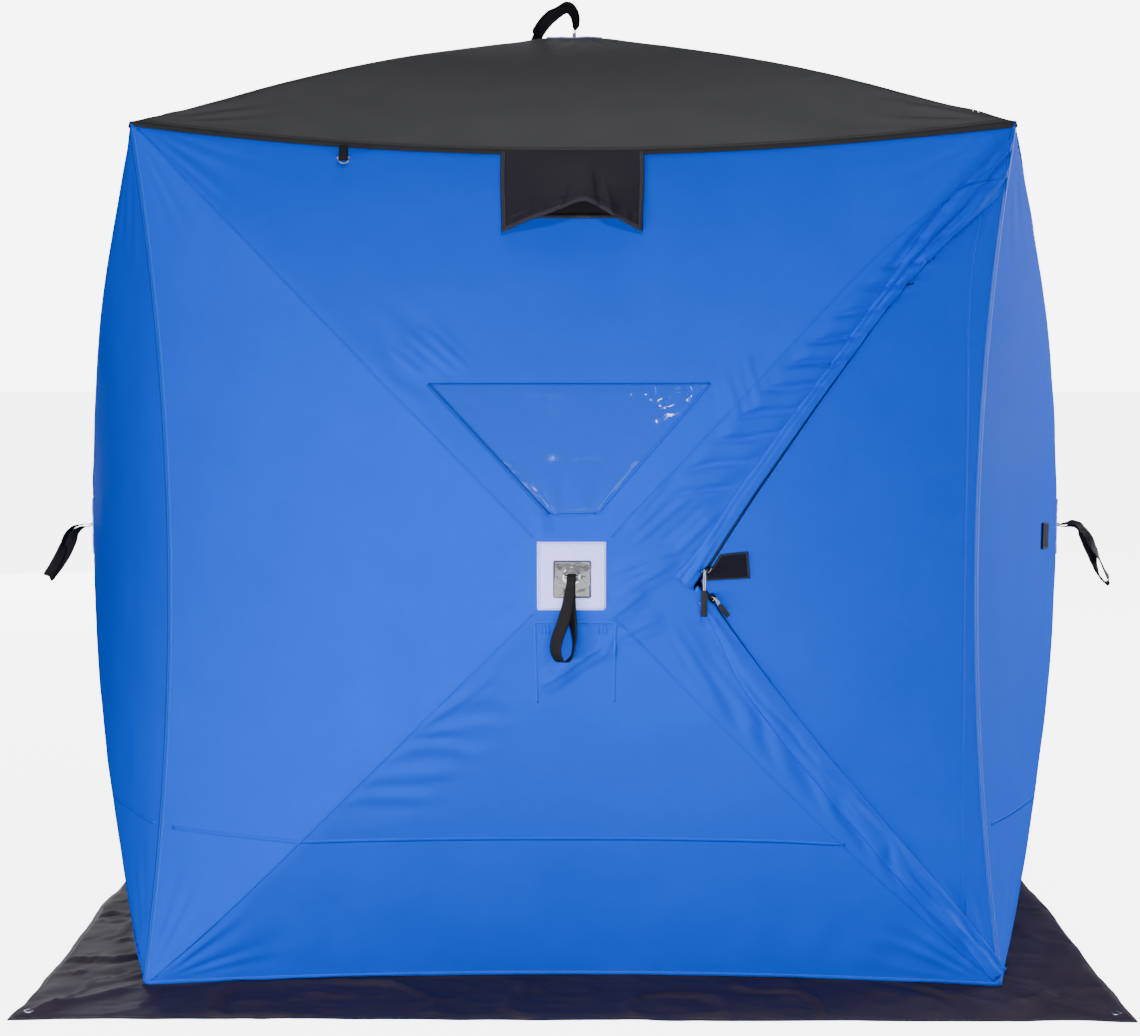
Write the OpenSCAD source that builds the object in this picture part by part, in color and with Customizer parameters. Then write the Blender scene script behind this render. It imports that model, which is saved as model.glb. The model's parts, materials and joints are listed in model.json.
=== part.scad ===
// Pop-up hub-frame ice fishing shelter: four walls and a roof, each sprung outward by four poles that meet at a hub.
// Row frame: +Z up, origin on the floor under the centre, front wall faces -Y, millimetres.

/* [Shelter] */
// corner to corner width of each wall, and height of the walls
edge = 1800; // [1750:10:1850]
// how far each hub stands out from the plane of its wall's corners
hub_bulge = 266; // [260:1:272]
// how far each pole lifts its panel seam, halfway from corner to hub
pole_lift = 168; // [160:1:174]
// how far the vertical seams and eaves bow in, along each axis
seam_bow = 57; // [45:1:65]
// how far the lower hem bows in on the floor
hem_bow = 85; // [75:1:95]
// width of the skirt that lies on the floor
skirt_width = 232; // [180:1:260]
// thickness of the quilted wall fabric
fabric_t = 1.6; // [1.2:0.1:1.8]
// thickness of the skirt fabric
skirt_t = 2; // [1.5:0.1:2.5]

/* [Frame] */
// diameter of the pole rods
rod_d = 10; // [9:0.5:11]
// bow of a pole rod away from its straight chord
rod_bow = 26; // [18:1:28]
// diameter of a hub
hub_d = 120; // [116:1:126]
// diameter of the pole pins
pin_d = 4; // [3.6:0.1:4]
// radial clearance of a pole on its corner pin
pin_fit = 0.05; // [0.02:0.01:0.1]

/* [Trim] */
// length of a hub's pull strap
strap_len = 160; // [130:5:175]
// width of the strap webbing
strap_w = 25; // [20:1:25]
// side of the square patch over a hub
patch_side = 134; // [124:1:135]
// width of a zip tape
tape_w = 26; // [22:1:26]

/* [Hidden] */
$fn = 48;
H = edge / 2;
hem_lift = 4;            // the hem hangs just over the skirt
seam_gap = 0.8;          // half the gap between neighbouring fabric panels
hs = 68;                 // half the opening under a hub's patch
pq = H / 2;              // where a panel seam is highest over its pole
pin_u = 45;              // hub pin, from the hub's axis
inset = 45;              // corner pin, from both edges
depth = 12;              // corner pin, behind the plane of the corners
pin_z = hub_bulge - 26;
cu = (H - inset) * sqrt(2);
theta = atan((pin_z + depth) / (cu - pin_u));
L = sqrt(pow(cu - pin_u, 2) + pow(pin_z + depth, 2));
pin_r = pin_d / 2;
bail_z = hub_bulge + 14; // the strap's pin
// the door: a point near the hub, and the ends of its two zips beside the hinge line
door_x = H - 85;
DV = [250, -15];
DU = [door_x, 735];
DL = [door_x, -760];
// the window in the upper panel
WIN = [[-284, 371], [-44, 118], [49, 118], [274, 371]];

BLUE = [0.16, 0.42, 0.82];
BLACK = [0.13, 0.12, 0.14];
GREY = [0.3, 0.3, 0.32];

// --- fabric -------------------------------------------------------------
function unit(v) = v / norm(v);
function turn(k, p) = k == 0 ? p : k == 1 ? [p[1], -p[0], p[2]] : k == 2 ? [-p[0], -p[1], p[2]] : [-p[1], p[0], p[2]];
function foot(wall, p) = wall && p[1] < -(H - 1) ? [p[0], -(H - hem_lift), p[2]] : p;
function mid(k, wall) = wall && k == 2 ? [0, -(H - hem_lift), -hem_bow] : turn(k, [0, H - seam_bow, -seam_bow]);
function a_l(k, wall) = foot(wall, turn(k, [-H, H, 0]));
function a_r(k, wall) = foot(wall, turn(k, [H, H, 0]));
function p_l(k) = turn(k, [-pq, pq, pole_lift]);
function p_r(k) = turn(k, [pq, pq, pole_lift]);
function c_l(k) = turn(k, [-hs, hs, hub_bulge]);
function c_r(k) = turn(k, [hs, hs, hub_bulge]);
// the four flat pieces of panel k of a face: outer left, outer right, outer middle, and the one beside the hub
function pieces(k, wall) = [
  [a_l(k, wall), p_l(k), mid(k, wall)],
  [mid(k, wall), p_r(k), a_r(k, wall)],
  [mid(k, wall), p_l(k), p_r(k)],
  [p_l(k), c_l(k), c_r(k), p_r(k)]];
function inner(P, g) = [for (i = [0:len(P) - 1])
  let (n = len(P), b = P[i], e = unit(P[(i + n - 1) % n] - b), f = unit(P[(i + 1) % n] - b)) b + (e + f) * g / norm(cross(e, f))];

module plate(P, g = seam_gap, t = fabric_t) {
  n = len(P);
  top = inner(P, g);
  down = unit(cross(P[1] - P[0], P[2] - P[0])) * t;
  polyhedron(
    points = concat(top, [for (p = top) p - down]),
    faces = concat([[for (i = [n - 1:-1:0]) i]], [[for (i = [0:n - 1]) n + i]], [for (i = [0:n - 1]) [i, (i + 1) % n, (i + 1) % n + n, i + n]]));
}
module prism(Q) { translate([0, 0, -300]) linear_extrude(height = 900) polygon(Q); }
module cut(P, Q, g = seam_gap, t = fabric_t) { intersection() { plate(P, g, t); prism(Q); } }
module panel(k, wall) { for (P = pieces(k, wall)) plate(P); }
module on_wall(turned) { rotate([0, 0, turned]) translate([0, -H, H]) rotate([90, 0, 0]) children(); }
module on_roof() { translate([0, 0, edge]) children(); }

module plain_wall() { for (k = [0:3]) panel(k, true); }

function slope_u() = (DU[1] - DV[1]) / (DU[0] - DV[0]);
function slope_l() = (DL[1] - DV[1]) / (DL[0] - DV[0]);
half = tape_w / 2 + 1;
rise_u = half * sqrt(1 + slope_u() * slope_u());
rise_l = half * sqrt(1 + slope_l() * slope_l());
function on_u(x) = DV[1] + slope_u() * (x - DV[0]);
function on_l(x) = DV[1] + slope_l() * (x - DV[0]);
door_tip = DV[0] + (rise_u + rise_l) / (slope_u() - slope_l());
DOOR = [[door_tip, on_u(door_tip) - rise_u], [door_x - 3, on_l(door_x - 3) + rise_l], [door_x - 3, on_u(door_x - 3) - rise_u]];
back_u = DV[0] - (rise_u - 1) / slope_u();
back_l = DV[0] + (rise_l - 1) / slope_l();
OVER = [[40, DV[1] + 0.8], [back_u, DV[1] + 0.8], [door_x + 1, on_u(door_x + 1) + rise_u], [door_x + 1, H + 20], [40, H + 20]];
UNDER = [[40, DV[1] - 0.8], [40, -H - 20], [door_x + 1, -H - 20], [door_x + 1, on_l(door_x + 1) - rise_l], [back_l, DV[1] - 0.8]];
BESIDE = [[door_x + 3, -H - 20], [H + 20, -H - 20], [H + 20, H + 20], [door_x + 3, H + 20]];

module wall_front() color(BLUE) on_wall(0) {
  T = pieces(0, true);
  R = pieces(1, true);
  plate(T[0]);
  plate(T[1]);
  // around the vent's mesh
  cut(T[2], [[-H, 400], [H, 400], [H, 688], [-H, 688]]);
  cut(T[2], [[-H, 689.5], [-112, 689.5], [-77, 770.5], [-H, 770.5]]);
  cut(T[2], [[112, 689.5], [H, 689.5], [H, 770.5], [77, 770.5]]);
  cut(T[2], [[-H, 772], [H, 772], [H, H], [-H, H]]);
  // around the window
  cut(T[3], [[-H, 373], [H, 373], [H, 500], [-H, 500]]);
  cut(T[3], [[-H, 117.5], [WIN[1][0] - 2.5, 117.5], [WIN[0][0] - 2.5, 371.5], [-H, 371.5]]);
  cut(T[3], [[WIN[2][0] + 2.5, 117.5], [H, 117.5], [H, 371.5], [WIN[3][0] + 2.5, 371.5]]);
  cut(T[3], [[-H, 40], [H, 40], [H, 116], [-H, 116]]);
  // around the door
  cut(R[0], OVER);
  cut(R[0], BESIDE);
  cut(R[1], UNDER);
  cut(R[1], BESIDE);
  cut(R[2], OVER);
  cut(R[2], UNDER);
  cut(R[2], BESIDE);
  cut(R[3], OVER);
  cut(R[3], UNDER);
  panel(2, true);
  panel(3, true);
}
module wall_back() color(BLUE) on_wall(180) plain_wall();
module wall_left() color(BLUE) on_wall(270) plain_wall();
module wall_right() color(BLUE) on_wall(90) plain_wall();
module roof() color(GREY) on_roof() for (k = [0:3]) panel(k, false);

module skirt() color(BLACK) for (k = [0:3]) rotate([0, 0, 90 * k]) {
  o = H + skirt_width;
  linear_extrude(height = skirt_t) polygon([[-o + 1, -o], [o - 1, -o], [H - 11, -H + 10], [0, -H + hem_bow + 10], [-H + 11, -H + 10]]);
}

module window_film() color([0.75, 0.8, 0.85, 0.5]) on_wall(0) cut(pieces(0, true)[3], WIN, seam_gap, 0.8);

// --- door and zips ------------------------------------------------------
module door_panel() color(BLUE) on_wall(0) for (P = pieces(1, true)) cut(P, DOOR);
// the plane of the piece beside the hub, at x
fall = (hub_bulge - pole_lift) / (pq - hs);
function near_z(x) = hub_bulge - fall * (x - hs);
tan_x = unit([1, 0, -fall]);
out_n = unit([fall, 0, 1]);
module door_tab() color(BLACK) on_wall(0) translate([0, 0, 2.6])
  cut([p_l(1), c_l(1), c_r(1), p_r(1)], [[288, -20], [360, -24], [356, 30], [306, 26]], 0, 1.8);

tape_v = [DV[0], DV[1], near_z(DV[0]) + 5];
tape_u = [DU[0], DU[1], 30];
tape_l = [DL[0], DL[1], 30];
module along(P, Q, n) {
  d = unit(Q - P);
  w = unit(cross(n, d));
  m = cross(d, w);
  multmatrix([[d[0], w[0], m[0], P[0]], [d[1], w[1], m[1], P[1]], [d[2], w[2], m[2], P[2]], [0, 0, 0, 1]]) children();
}
module tape(Q, n) along(tape_v, Q, n) {
  len = norm(Q - tape_v) - 18;
  translate([16, -tape_w / 2, -1]) cube([len, tape_w, 2]);
  translate([18, -2.5, 0]) cube([len - 4, 5, 4.2]);
}
// the door's plane leans back along both zips
nu = unit([0.33, -0.06, 1]);
nl = unit([0.33, 0.06, 1]);
module zip_tapes() color(BLACK) on_wall(0) { tape(tape_u, nu); tape(tape_l, nl); }
module runner() {
  difference() {
    translate([-9, -6.5, 1.5]) cube([18, 13, 7.5]);
    translate([-10, -3.1, 0]) cube([20, 6.2, 4.9]);
  }
}
// two ears and a pin along local X, to carry a pull
module ears() {
  for (s = [-1, 1]) translate([s * 5.4 - 1, -3, 0]) cube([2, 6, 13]);
  translate([-6.4, 0, 10.6]) rotate([0, 90, 0]) cylinder(r = 1.2, h = 12.8);
}
pu = tape_v + unit(tape_u - tape_v) * 27;
pl = tape_v + unit(tape_l - tape_v) * 44;
module frame_at(P, x, z) {
  y = unit(cross(z, x));
  multmatrix([[x[0], y[0], z[0], P[0]], [x[1], y[1], z[1], P[1]], [x[2], y[2], z[2], P[2]], [0, 0, 0, 1]]) children();
}
low_d = unit(tape_l - tape_v);
low_w = unit(cross(nl, low_d));
low_n = cross(low_d, low_w);
module slider_upper() color(GREY) on_wall(0) {
  along(pu, tape_u, nu) runner();
  frame_at(pu, tan_x, out_n) translate([-10, 0, 0]) { translate([-6.4, -3, 5.6]) cube([14, 6, 3]); translate([0, 0, 5.6]) ears(); }
}
module slider_lower() color(GREY) on_wall(0) {
  along(pl, tape_l, nl) runner();
  frame_at(pl, low_w, low_n) translate([0, 0, 5.6]) ears();
}
module pull(n) {
  difference() {
    union() {
      translate([-3.4, 0, 0]) rotate([0, 90, 0]) cylinder(r = 2.6, h = 6.8);
      translate([-1.6, -n, -1.4]) cube([3.2, n, 2.8]);
    }
    translate([-5, 0, 0]) rotate([0, 90, 0]) cylinder(r = 1.25, h = 10);
  }
}
module pull_upper() color(BLACK) on_wall(0) frame_at(pu, tan_x, out_n) translate([-10, 0, 16.2]) { pull(42); translate([-6.5, -88, -2]) cube([13, 48, 4]); }
module pull_lower() color(BLACK) on_wall(0) frame_at(pl, low_w, low_n) translate([0, 0, 16.2]) { pull(18); translate([-5, -44, -2]) cube([10, 28, 4]); }

// --- vent ---------------------------------------------------------------
module vent_mesh() color(BLACK) on_wall(0) cut(pieces(0, true)[2], [[-110, 690], [110, 690], [75, 770], [-75, 770]], 0, 1.2);
vt = [[-144, 838, -38], [144, 838, -38]];
vb = [[-142, 676, 54], [142, 676, 54]];
va = [0, 738, 104];
vs = [[-80, 708, 88], [80, 708, 88]];
module vent_hood() color(BLACK) on_wall(0) {
  plate([vt[0], vb[0], vs[0]], 0.5, 1.6);
  plate([vt[0], vs[0], va], 0.5, 1.6);
  plate([vt[0], va, vt[1]], 0.5, 1.6);
  plate([vt[1], va, vs[1]], 0.5, 1.6);
  plate([vt[1], vs[1], vb[1]], 0.5, 1.6);
}

// --- small sewn pieces --------------------------------------------------
ring_p = [-465, 826, 8];
lie = atan(pole_lift / pq + 0.09);
module d_ring() color(GREY) on_wall(0) translate(ring_p) rotate([lie, 0, 0]) {
  rotate([0, 90, 0]) cylinder(r = 1.5, h = 27, center = true);
  rotate([0, 0, 180]) rotate_extrude(angle = 180) translate([12, 0]) circle(r = 1.5);
  for (s = [-1, 1]) translate([12 * s, 0, 0]) sphere(r = 1.5);
}
module sewn_tabs() color(BLACK) {
  // webbing tab that holds the ring under the eave
  on_wall(0) translate(ring_p) rotate([lie, 0, 0]) difference() {
    union() {
      rotate([0, 90, 0]) cylinder(r = 3.4, h = 18, center = true);
      translate([-9, 0, -3.4]) cube([18, 18, 2.4]);
    }
    rotate([0, 90, 0]) cylinder(r = 1.7, h = 30, center = true);
  }
  // webbing tab on the right wall
  on_wall(90) translate([0, 0, 2.6]) cut([p_l(3), c_l(3), c_r(3), p_r(3)], [[-420, -20], [-350, -26], [-350, 34], [-420, 40]], 0, 1.8);
}

// --- corner blocks and pins --------------------------------------------
module at_corner(k) rotate([0, 0, 45 + 90 * k]) translate([cu, 0, -depth]) children();
module lugs() difference() {
  for (s = [-1, 1]) translate([0, s * 6.7, 0]) {
    rotate([90, 0, 0]) cylinder(r = 7.5, h = 4, center = true);
    translate([0, -2, -7.5]) cube([28, 4, 15]);
  }
  rotate([90, 0, 0]) cylinder(r = pin_r + pin_fit, h = 30, center = true);
}
module core(sx, sy, z) translate([sx * (H - 21), sy * (H - 21), z]) cube([26, 26, 26], center = true);
module corner_blocks() color(BLACK) {
  for (sx = [-1, 1], sy = [-1, 1]) { core(sx, sy, edge - 21); core(sx, sy, 21); }
  for (a = [0, 90, 180, 270], k = [0:3]) on_wall(a) at_corner(k) lugs();
  for (k = [0:3]) on_roof() at_corner(k) lugs();
}
module corner_pin() rotate([90, 0, 0]) cylinder(r = pin_r, h = 19, center = true);
module corner_pins() color(GREY) {
  for (a = [0, 90, 180, 270], k = [0:3]) on_wall(a) at_corner(k) corner_pin();
  for (k = [0:3]) on_roof() at_corner(k) corner_pin();
}

// --- hubs, pins, patches and straps --------------------------------------
module hub() color(BLACK) translate([0, 0, pin_z]) difference() {
  translate([0, 0, -15]) cylinder(d = hub_d, h = 30, $fn = 96);
  translate([0, 0, -20]) cylinder(r = 4.15, h = 50);
  for (k = [0:3]) rotate([0, 0, 45 + 90 * k]) {
    translate([8, -5, -20]) cube([60, 10, 31]);
    translate([pin_u, 0, 0]) rotate([90, 0, 0]) cylinder(r = pin_r + 0.05, h = 27, center = true);
  }
}
module pins() color(GREY) {
  for (k = [0:3]) rotate([0, 0, 45 + 90 * k]) translate([pin_u, 0, pin_z]) rotate([90, 0, 0]) cylinder(r = pin_r, h = 26, center = true);
  translate([0, 0, pin_z - 19]) cylinder(r = 7, h = 3.6);
  translate([0, 0, pin_z - 17]) cylinder(r = 4, h = 50);
  translate([0, 0, hub_bulge + 4.4]) cylinder(r = 18, h = 2);
  for (s = [-1, 1]) translate([s * 15.5 - 1.5, -4.5, hub_bulge + 5]) cube([3, 9, 13.5]);
  translate([-17.5, 0, bail_z]) rotate([0, 90, 0]) cylinder(r = 2, h = 35);
}
module patch() color([0.8, 0.76, 0.86]) translate([0, 0, hub_bulge + 2]) difference() {
  translate([-patch_side / 2, -patch_side / 2, 0]) cube([patch_side, patch_side, 2]);
  translate([0, 0, -1]) cylinder(r = 5, h = 4);
}
// a webbing strap that swings on the bail, leaning in by lean degrees from upright
module strap(lean) color(BLACK) translate([0, 0, bail_z]) rotate([lean, 0, 0]) difference() {
  union() {
    rotate([0, 90, 0]) cylinder(r = 5, h = strap_w, center = true);
    translate([-strap_w / 2, -strap_len, -1.5]) cube([strap_w, strap_len, 3]);
  }
  rotate([0, 90, 0]) cylinder(r = 2.05, h = 60, center = true);
  translate([-7, -strap_len + 8, -5]) cube([14, 52, 10]);
}
module strap_arch() color(BLACK) translate([0, 0, bail_z]) difference() {
  union() {
    rotate([0, 90, 0]) cylinder(r = 5, h = strap_w, center = true);
    rotate([90, 0, 90]) translate([0, 0, -strap_w / 2]) linear_extrude(height = strap_w)
      polygon([[1.5, 0], [-1.5, 0], [-3.6, 46], [-18, 64], [-40, 62], [-90, 0], [-108, -18], [-110.2, -15.8], [-92.2, 2.2], [-41.5, 65.2], [-16.6, 67.2], [-0.6, 47]]);
  }
  rotate([0, 90, 0]) cylinder(r = 2.05, h = 60, center = true);
}

// --- poles ----------------------------------------------------------------
module pole(k) color([0.16, 0.16, 0.17]) rotate([0, 0, 45 + 90 * k]) translate([cu, 0, -depth]) rotate([0, theta, 0]) difference() {
  Lr = L - 102;
  R = Lr * Lr / (8 * rod_bow) + rod_bow / 2;
  ha = asin(Lr / 2 / R);
  union() {
    rotate([90, 0, 0]) cylinder(r = 7, h = 8, center = true);
    translate([-30, -4, -7]) cube([30, 8, 14]);
    translate([-55, 0, 0]) rotate([0, 90, 0]) cylinder(r = 7.5, h = 30);
    translate([-(40 + L - 62) / 2, 0, rod_bow - R]) rotate([90, 0, 0]) rotate([0, 0, 90 - ha])
      rotate_extrude(angle = 2 * ha, $fn = 180) translate([R, 0]) circle(d = rod_d, $fn = 24);
    translate([-(L - 47), 0, 0]) rotate([0, 90, 0]) cylinder(r = 7.5, h = 30);
    translate([-(L + 8), -4, -6.5]) cube([58, 8, 13]);
  }
  rotate([90, 0, 0]) cylinder(r = pin_r + pin_fit, h = 20, center = true);
  for (x = [L, L - 28]) translate([-x, 0, 0]) rotate([90, 0, 0]) cylinder(r = pin_r + 1.8, h = 20, center = true);
  translate([-L, -10, -pin_r - 1.8]) cube([28, 20, 2 * pin_r + 3.6]);
}

wall_front();
wall_back();
wall_left();
wall_right();
roof();
skirt();
window_film();
door_panel();
door_tab();
zip_tapes();
slider_upper();
slider_lower();
pull_upper();
pull_lower();
vent_mesh();
vent_hood();
d_ring();
sewn_tabs();
corner_blocks();
corner_pins();
on_wall(0) hub();  // hub_front
on_wall(180) hub();  // hub_back
on_wall(270) hub();  // hub_left
on_wall(90) hub();  // hub_right
on_roof() hub();  // hub_roof
on_wall(0) pins();  // pins_front
on_wall(180) pins();  // pins_back
on_wall(270) pins();  // pins_left
on_wall(90) pins();  // pins_right
on_roof() rotate([0, 0, 90]) pins();  // pins_roof
on_wall(0) strap(6);  // strap_front
on_wall(180) strap(6);  // strap_back
on_wall(270) strap(-40);  // strap_left
on_wall(90) strap(-40);  // strap_right
on_roof() rotate([0, 0, -90]) strap_arch();  // strap_roof
on_wall(0) patch();  // patch_front
on_wall(180) patch();  // patch_back
on_wall(270) patch();  // patch_left
on_wall(90) patch();  // patch_right
on_roof() patch();  // patch_roof
on_wall(0) pole(0);  // pole_front_1
on_wall(0) pole(1);  // pole_front_2
on_wall(0) pole(2);  // pole_front_3
on_wall(0) pole(3);  // pole_front_4
on_wall(90) pole(0);  // pole_right_1
on_wall(90) pole(1);  // pole_right_2
on_wall(90) pole(2);  // pole_right_3
on_wall(90) pole(3);  // pole_right_4
on_wall(180) pole(0);  // pole_back_1
on_wall(180) pole(1);  // pole_back_2
on_wall(180) pole(2);  // pole_back_3
on_wall(180) pole(3);  // pole_back_4
on_wall(270) pole(0);  // pole_left_1
on_wall(270) pole(1);  // pole_left_2
on_wall(270) pole(2);  // pole_left_3
on_wall(270) pole(3);  // pole_left_4
on_roof() pole(0);  // pole_roof_1
on_roof() pole(1);  // pole_roof_2
on_roof() pole(2);  // pole_roof_3
on_roof() pole(3);  // pole_roof_4
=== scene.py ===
import bpy, bmesh, math, json, random
import numpy as np
from mathutils import Vector, Matrix

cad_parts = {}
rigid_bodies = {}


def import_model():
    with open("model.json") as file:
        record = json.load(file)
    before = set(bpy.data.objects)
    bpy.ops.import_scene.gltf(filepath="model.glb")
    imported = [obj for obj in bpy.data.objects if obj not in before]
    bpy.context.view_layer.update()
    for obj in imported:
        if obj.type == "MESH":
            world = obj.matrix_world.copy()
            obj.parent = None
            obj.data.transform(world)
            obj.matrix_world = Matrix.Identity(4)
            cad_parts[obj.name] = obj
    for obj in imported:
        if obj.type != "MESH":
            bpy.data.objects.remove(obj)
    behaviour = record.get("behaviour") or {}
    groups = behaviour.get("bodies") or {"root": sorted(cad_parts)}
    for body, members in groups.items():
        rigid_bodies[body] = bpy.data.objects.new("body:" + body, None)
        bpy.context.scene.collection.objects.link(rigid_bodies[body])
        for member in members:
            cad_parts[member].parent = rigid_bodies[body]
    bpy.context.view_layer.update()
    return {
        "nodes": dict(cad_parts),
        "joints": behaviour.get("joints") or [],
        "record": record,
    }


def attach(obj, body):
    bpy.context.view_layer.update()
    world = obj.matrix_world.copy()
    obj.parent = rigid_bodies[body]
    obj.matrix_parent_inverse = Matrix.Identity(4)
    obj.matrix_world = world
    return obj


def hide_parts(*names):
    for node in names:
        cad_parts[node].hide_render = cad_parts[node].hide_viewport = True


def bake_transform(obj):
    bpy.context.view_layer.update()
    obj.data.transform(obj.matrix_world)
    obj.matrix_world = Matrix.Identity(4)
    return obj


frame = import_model()
REC = frame["record"]
JOINTS = {j["name"]: j for j in frame["joints"]}
rng = np.random.default_rng(7)
random.seed(7)

# ------------------------------------------------------------------ geometry of a face
# Face frame, millimetres: x to the right, y up, z outward, corners at (+-H, +-H, 0).
H = 900.0
HB = 266.0          # fabric beside the hub
V0 = 68.0 / H       # where the flat at the hub begins
SB = 57.0           # how far seams bow in
HEM = 85.0          # how far the hem bows in
TRAVEL = JOINTS["front_hub_pop"]["range_m"][1] * 1000

def face_matrix(name):
    if name == "roof":
        return np.eye(3), np.array([0, 0, 2 * H])
    a = math.radians({"front": 0, "right": 90, "back": 180, "left": 270}[name])
    c, s = math.cos(a), math.sin(a)
    rz = np.array([[c, -s, 0], [s, c, 0], [0, 0, 1]])
    rx = np.array([[1, 0, 0], [0, 0, -1], [0, 1, 0]], float)
    return rz @ rx, rz @ np.array([0, -H, H])

FM = {n: face_matrix(n) for n in ("front", "right", "back", "left", "roof")}

def to_world(face, p):
    m, o = FM[face]
    return (np.asarray(p, float) @ m.T + o) / 1000.0

def st_of(x, y, wall):
    x = np.asarray(x, float); y = np.asarray(y, float)
    s, t = x / H, y / H
    for _ in range(8):
        ks = SB * (1 - np.clip(t, -1, 1) ** 2)
        kt = SB * (1 - np.clip(s, -1, 1) ** 2)
        s = (x + np.sign(s) * np.abs(s) ** 3 * ks) / H
        low = (t < 0) if wall else np.zeros_like(t, bool)
        t = np.where(low, (y + np.sign(t) * np.abs(t) ** 3 * 4.0) / H, (y + np.sign(t) * np.abs(t) ** 3 * kt) / H)
    return s, t

def xy_of(s, t, wall):
    ks = SB * (1 - np.clip(t, -1, 1) ** 2)
    kt = SB * (1 - np.clip(s, -1, 1) ** 2)
    x = s * H - np.sign(s) * np.abs(s) ** 3 * ks
    low = (t < 0) if wall else np.zeros_like(t, bool)
    y = t * H - np.sign(t) * np.abs(t) ** 3 * np.where(low, 4.0, kt)
    return x, y

def ridge(v):
    tau = np.clip((1 - v) / (1 - V0), 0, 1)
    return HB * tau + 4 * 25.0 * tau * (1 - tau)

def z_of(s, t, wall):
    a, b = np.abs(s), np.abs(t)
    v = np.maximum(a, b)
    # rounded ridge over the pole, as cloth over a rod
    d = np.abs(a - b)
    u = np.minimum(a, b)
    q = np.clip(u / np.maximum(v, 1e-6), 0, 1)
    bow = np.where((b > a) & (t < 0) & wall, HEM, SB)
    z = ridge(v) - bow * v ** 3.0 * (1 - q ** 2)
    # panels pulled tight between two poles lie a little under the ridges
    z = z - 9.0 * np.clip((v - V0) / 0.4, 0, 1) * np.clip((1.0 - v) / 0.25, 0, 1) * (1 - q ** 2)
    # soft crease along each pole
    z = z - 2.2 * np.exp(-(d * H / 14.0) ** 2) * np.clip((v - 0.09) / 0.05, 0, 1)
    return z

def weight(s, t):
    v = np.maximum(np.abs(s), np.abs(t))
    # a few mm held back, so a pushed-in panel still lies over its poles
    spare = np.interp(v, [0.15, 0.26, 0.36, 0.66, 0.76, 0.84, 0.91, 0.955, 1.0], [0, 2.2, 3.4, 4.6, 3.4, 4.6, 8.5, 9.0, 0.0])
    off = np.abs(np.abs(s) - np.abs(t)) * H / math.sqrt(2)
    spare = spare * np.clip((72 - off) / 50.0, 0, 1)
    return np.clip((1 - v) / (1 - V0) - spare / 504.0, 0, 1)

# ------------------------------------------------------------------ smooth noise
_perm = np.random.default_rng(11).random((6, 256, 256))

def noise(x, y, layer=0):
    """Smooth value noise in -1..1 with a cell of 1."""
    x = np.asarray(x, float); y = np.asarray(y, float)
    xi, yi = np.floor(x).astype(int), np.floor(y).astype(int)
    fx, fy = x - xi, y - yi
    fx, fy = fx * fx * fx * (fx * (fx * 6 - 15) + 10), fy * fy * fy * (fy * (fy * 6 - 15) + 10)
    g = _perm[layer % 6]
    a = g[xi % 256, yi % 256]; b = g[(xi + 1) % 256, yi % 256]
    c = g[xi % 256, (yi + 1) % 256]; d = g[(xi + 1) % 256, (yi + 1) % 256]
    return 2 * ((a * (1 - fx) + b * fx) * (1 - fy) + (c * (1 - fx) + d * fx) * fy) - 1

def fbm(x, y, layer=0, octaves=3):
    v, amp = 0, 1.0
    for k in range(octaves):
        v = v + amp * noise(x * 2 ** k + 13.1 * k, y * 2 ** k + 7.7 * k, layer + k)
        amp *= 0.5
    return v

def step(x, a, b):
    t = np.clip((x - a) / (b - a), 0, 1)
    return t * t * (3 - 2 * t)

def seg_dist(x, y, p, q):
    """(along 0..1, signed distance to the left) of points from the line p to q."""
    p, q = np.array(p, float), np.array(q, float)
    d = q - p
    L = np.hypot(*d)
    d = d / L
    rx, ry = x - p[0], y - p[1]
    return (rx * d[0] + ry * d[1]) / L, -rx * d[1] + ry * d[0], L

# the door: its point and the ends of its zips (face frame)
DX = 815.0
DV = np.array([250.0, -15.0])
DU = np.array([DX, 735.0])
DL = np.array([DX, -760.0])

def _curve(a, knots):
    """Smooth curve through knots (a, value)."""
    k = np.array(knots, float)
    fine = np.linspace(k[0, 0], k[-1, 0], 200)
    v = np.interp(fine, k[:, 0], k[:, 1])
    ker = np.hanning(25); ker /= ker.sum()
    v = np.convolve(np.pad(v, 12, mode="edge"), ker, mode="valid")
    return np.interp(a, fine, v)

UP_BOW = [(-0.3, -6), (0.0, 0), (0.2, 13), (0.46, 20), (0.7, 22), (0.82, 14), (0.92, -3), (1.0, -22), (1.08, -38), (1.3, -40)]
LO_BOW = [(-0.3, 0), (0.0, 0), (0.1, -9), (0.25, -13), (0.4, -16), (0.58, -13), (0.76, -7), (0.95, 0), (1.3, 0)]

def warp(x, y):
    """The zips run in gentle curves: moves points of the front wall sideways near them."""
    x = np.asarray(x, float); y = np.asarray(y, float)
    s, t = st_of(x, y, True)
    v = np.maximum(np.abs(s), np.abs(t))
    edge = step(v, 1.0, 0.95)
    a, d, L = seg_dist(x, y, DV, DU)
    fall = np.exp(-(d / 150.0) ** 2) * step(a, -0.25, 0.02)
    o = _curve(a, UP_BOW) * fall * edge
    ux = (DU - DV) / L
    X = x - ux[1] * o
    Y = y + ux[0] * o
    a, d, L = seg_dist(x, y, DV, DL)
    fall = np.exp(-(d / 130.0) ** 2) * step(a, -0.25, 0.02)
    o = _curve(a, LO_BOW) * fall * edge
    ux = (DL - DV) / L
    return X - ux[1] * o, Y + ux[0] * o

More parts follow.
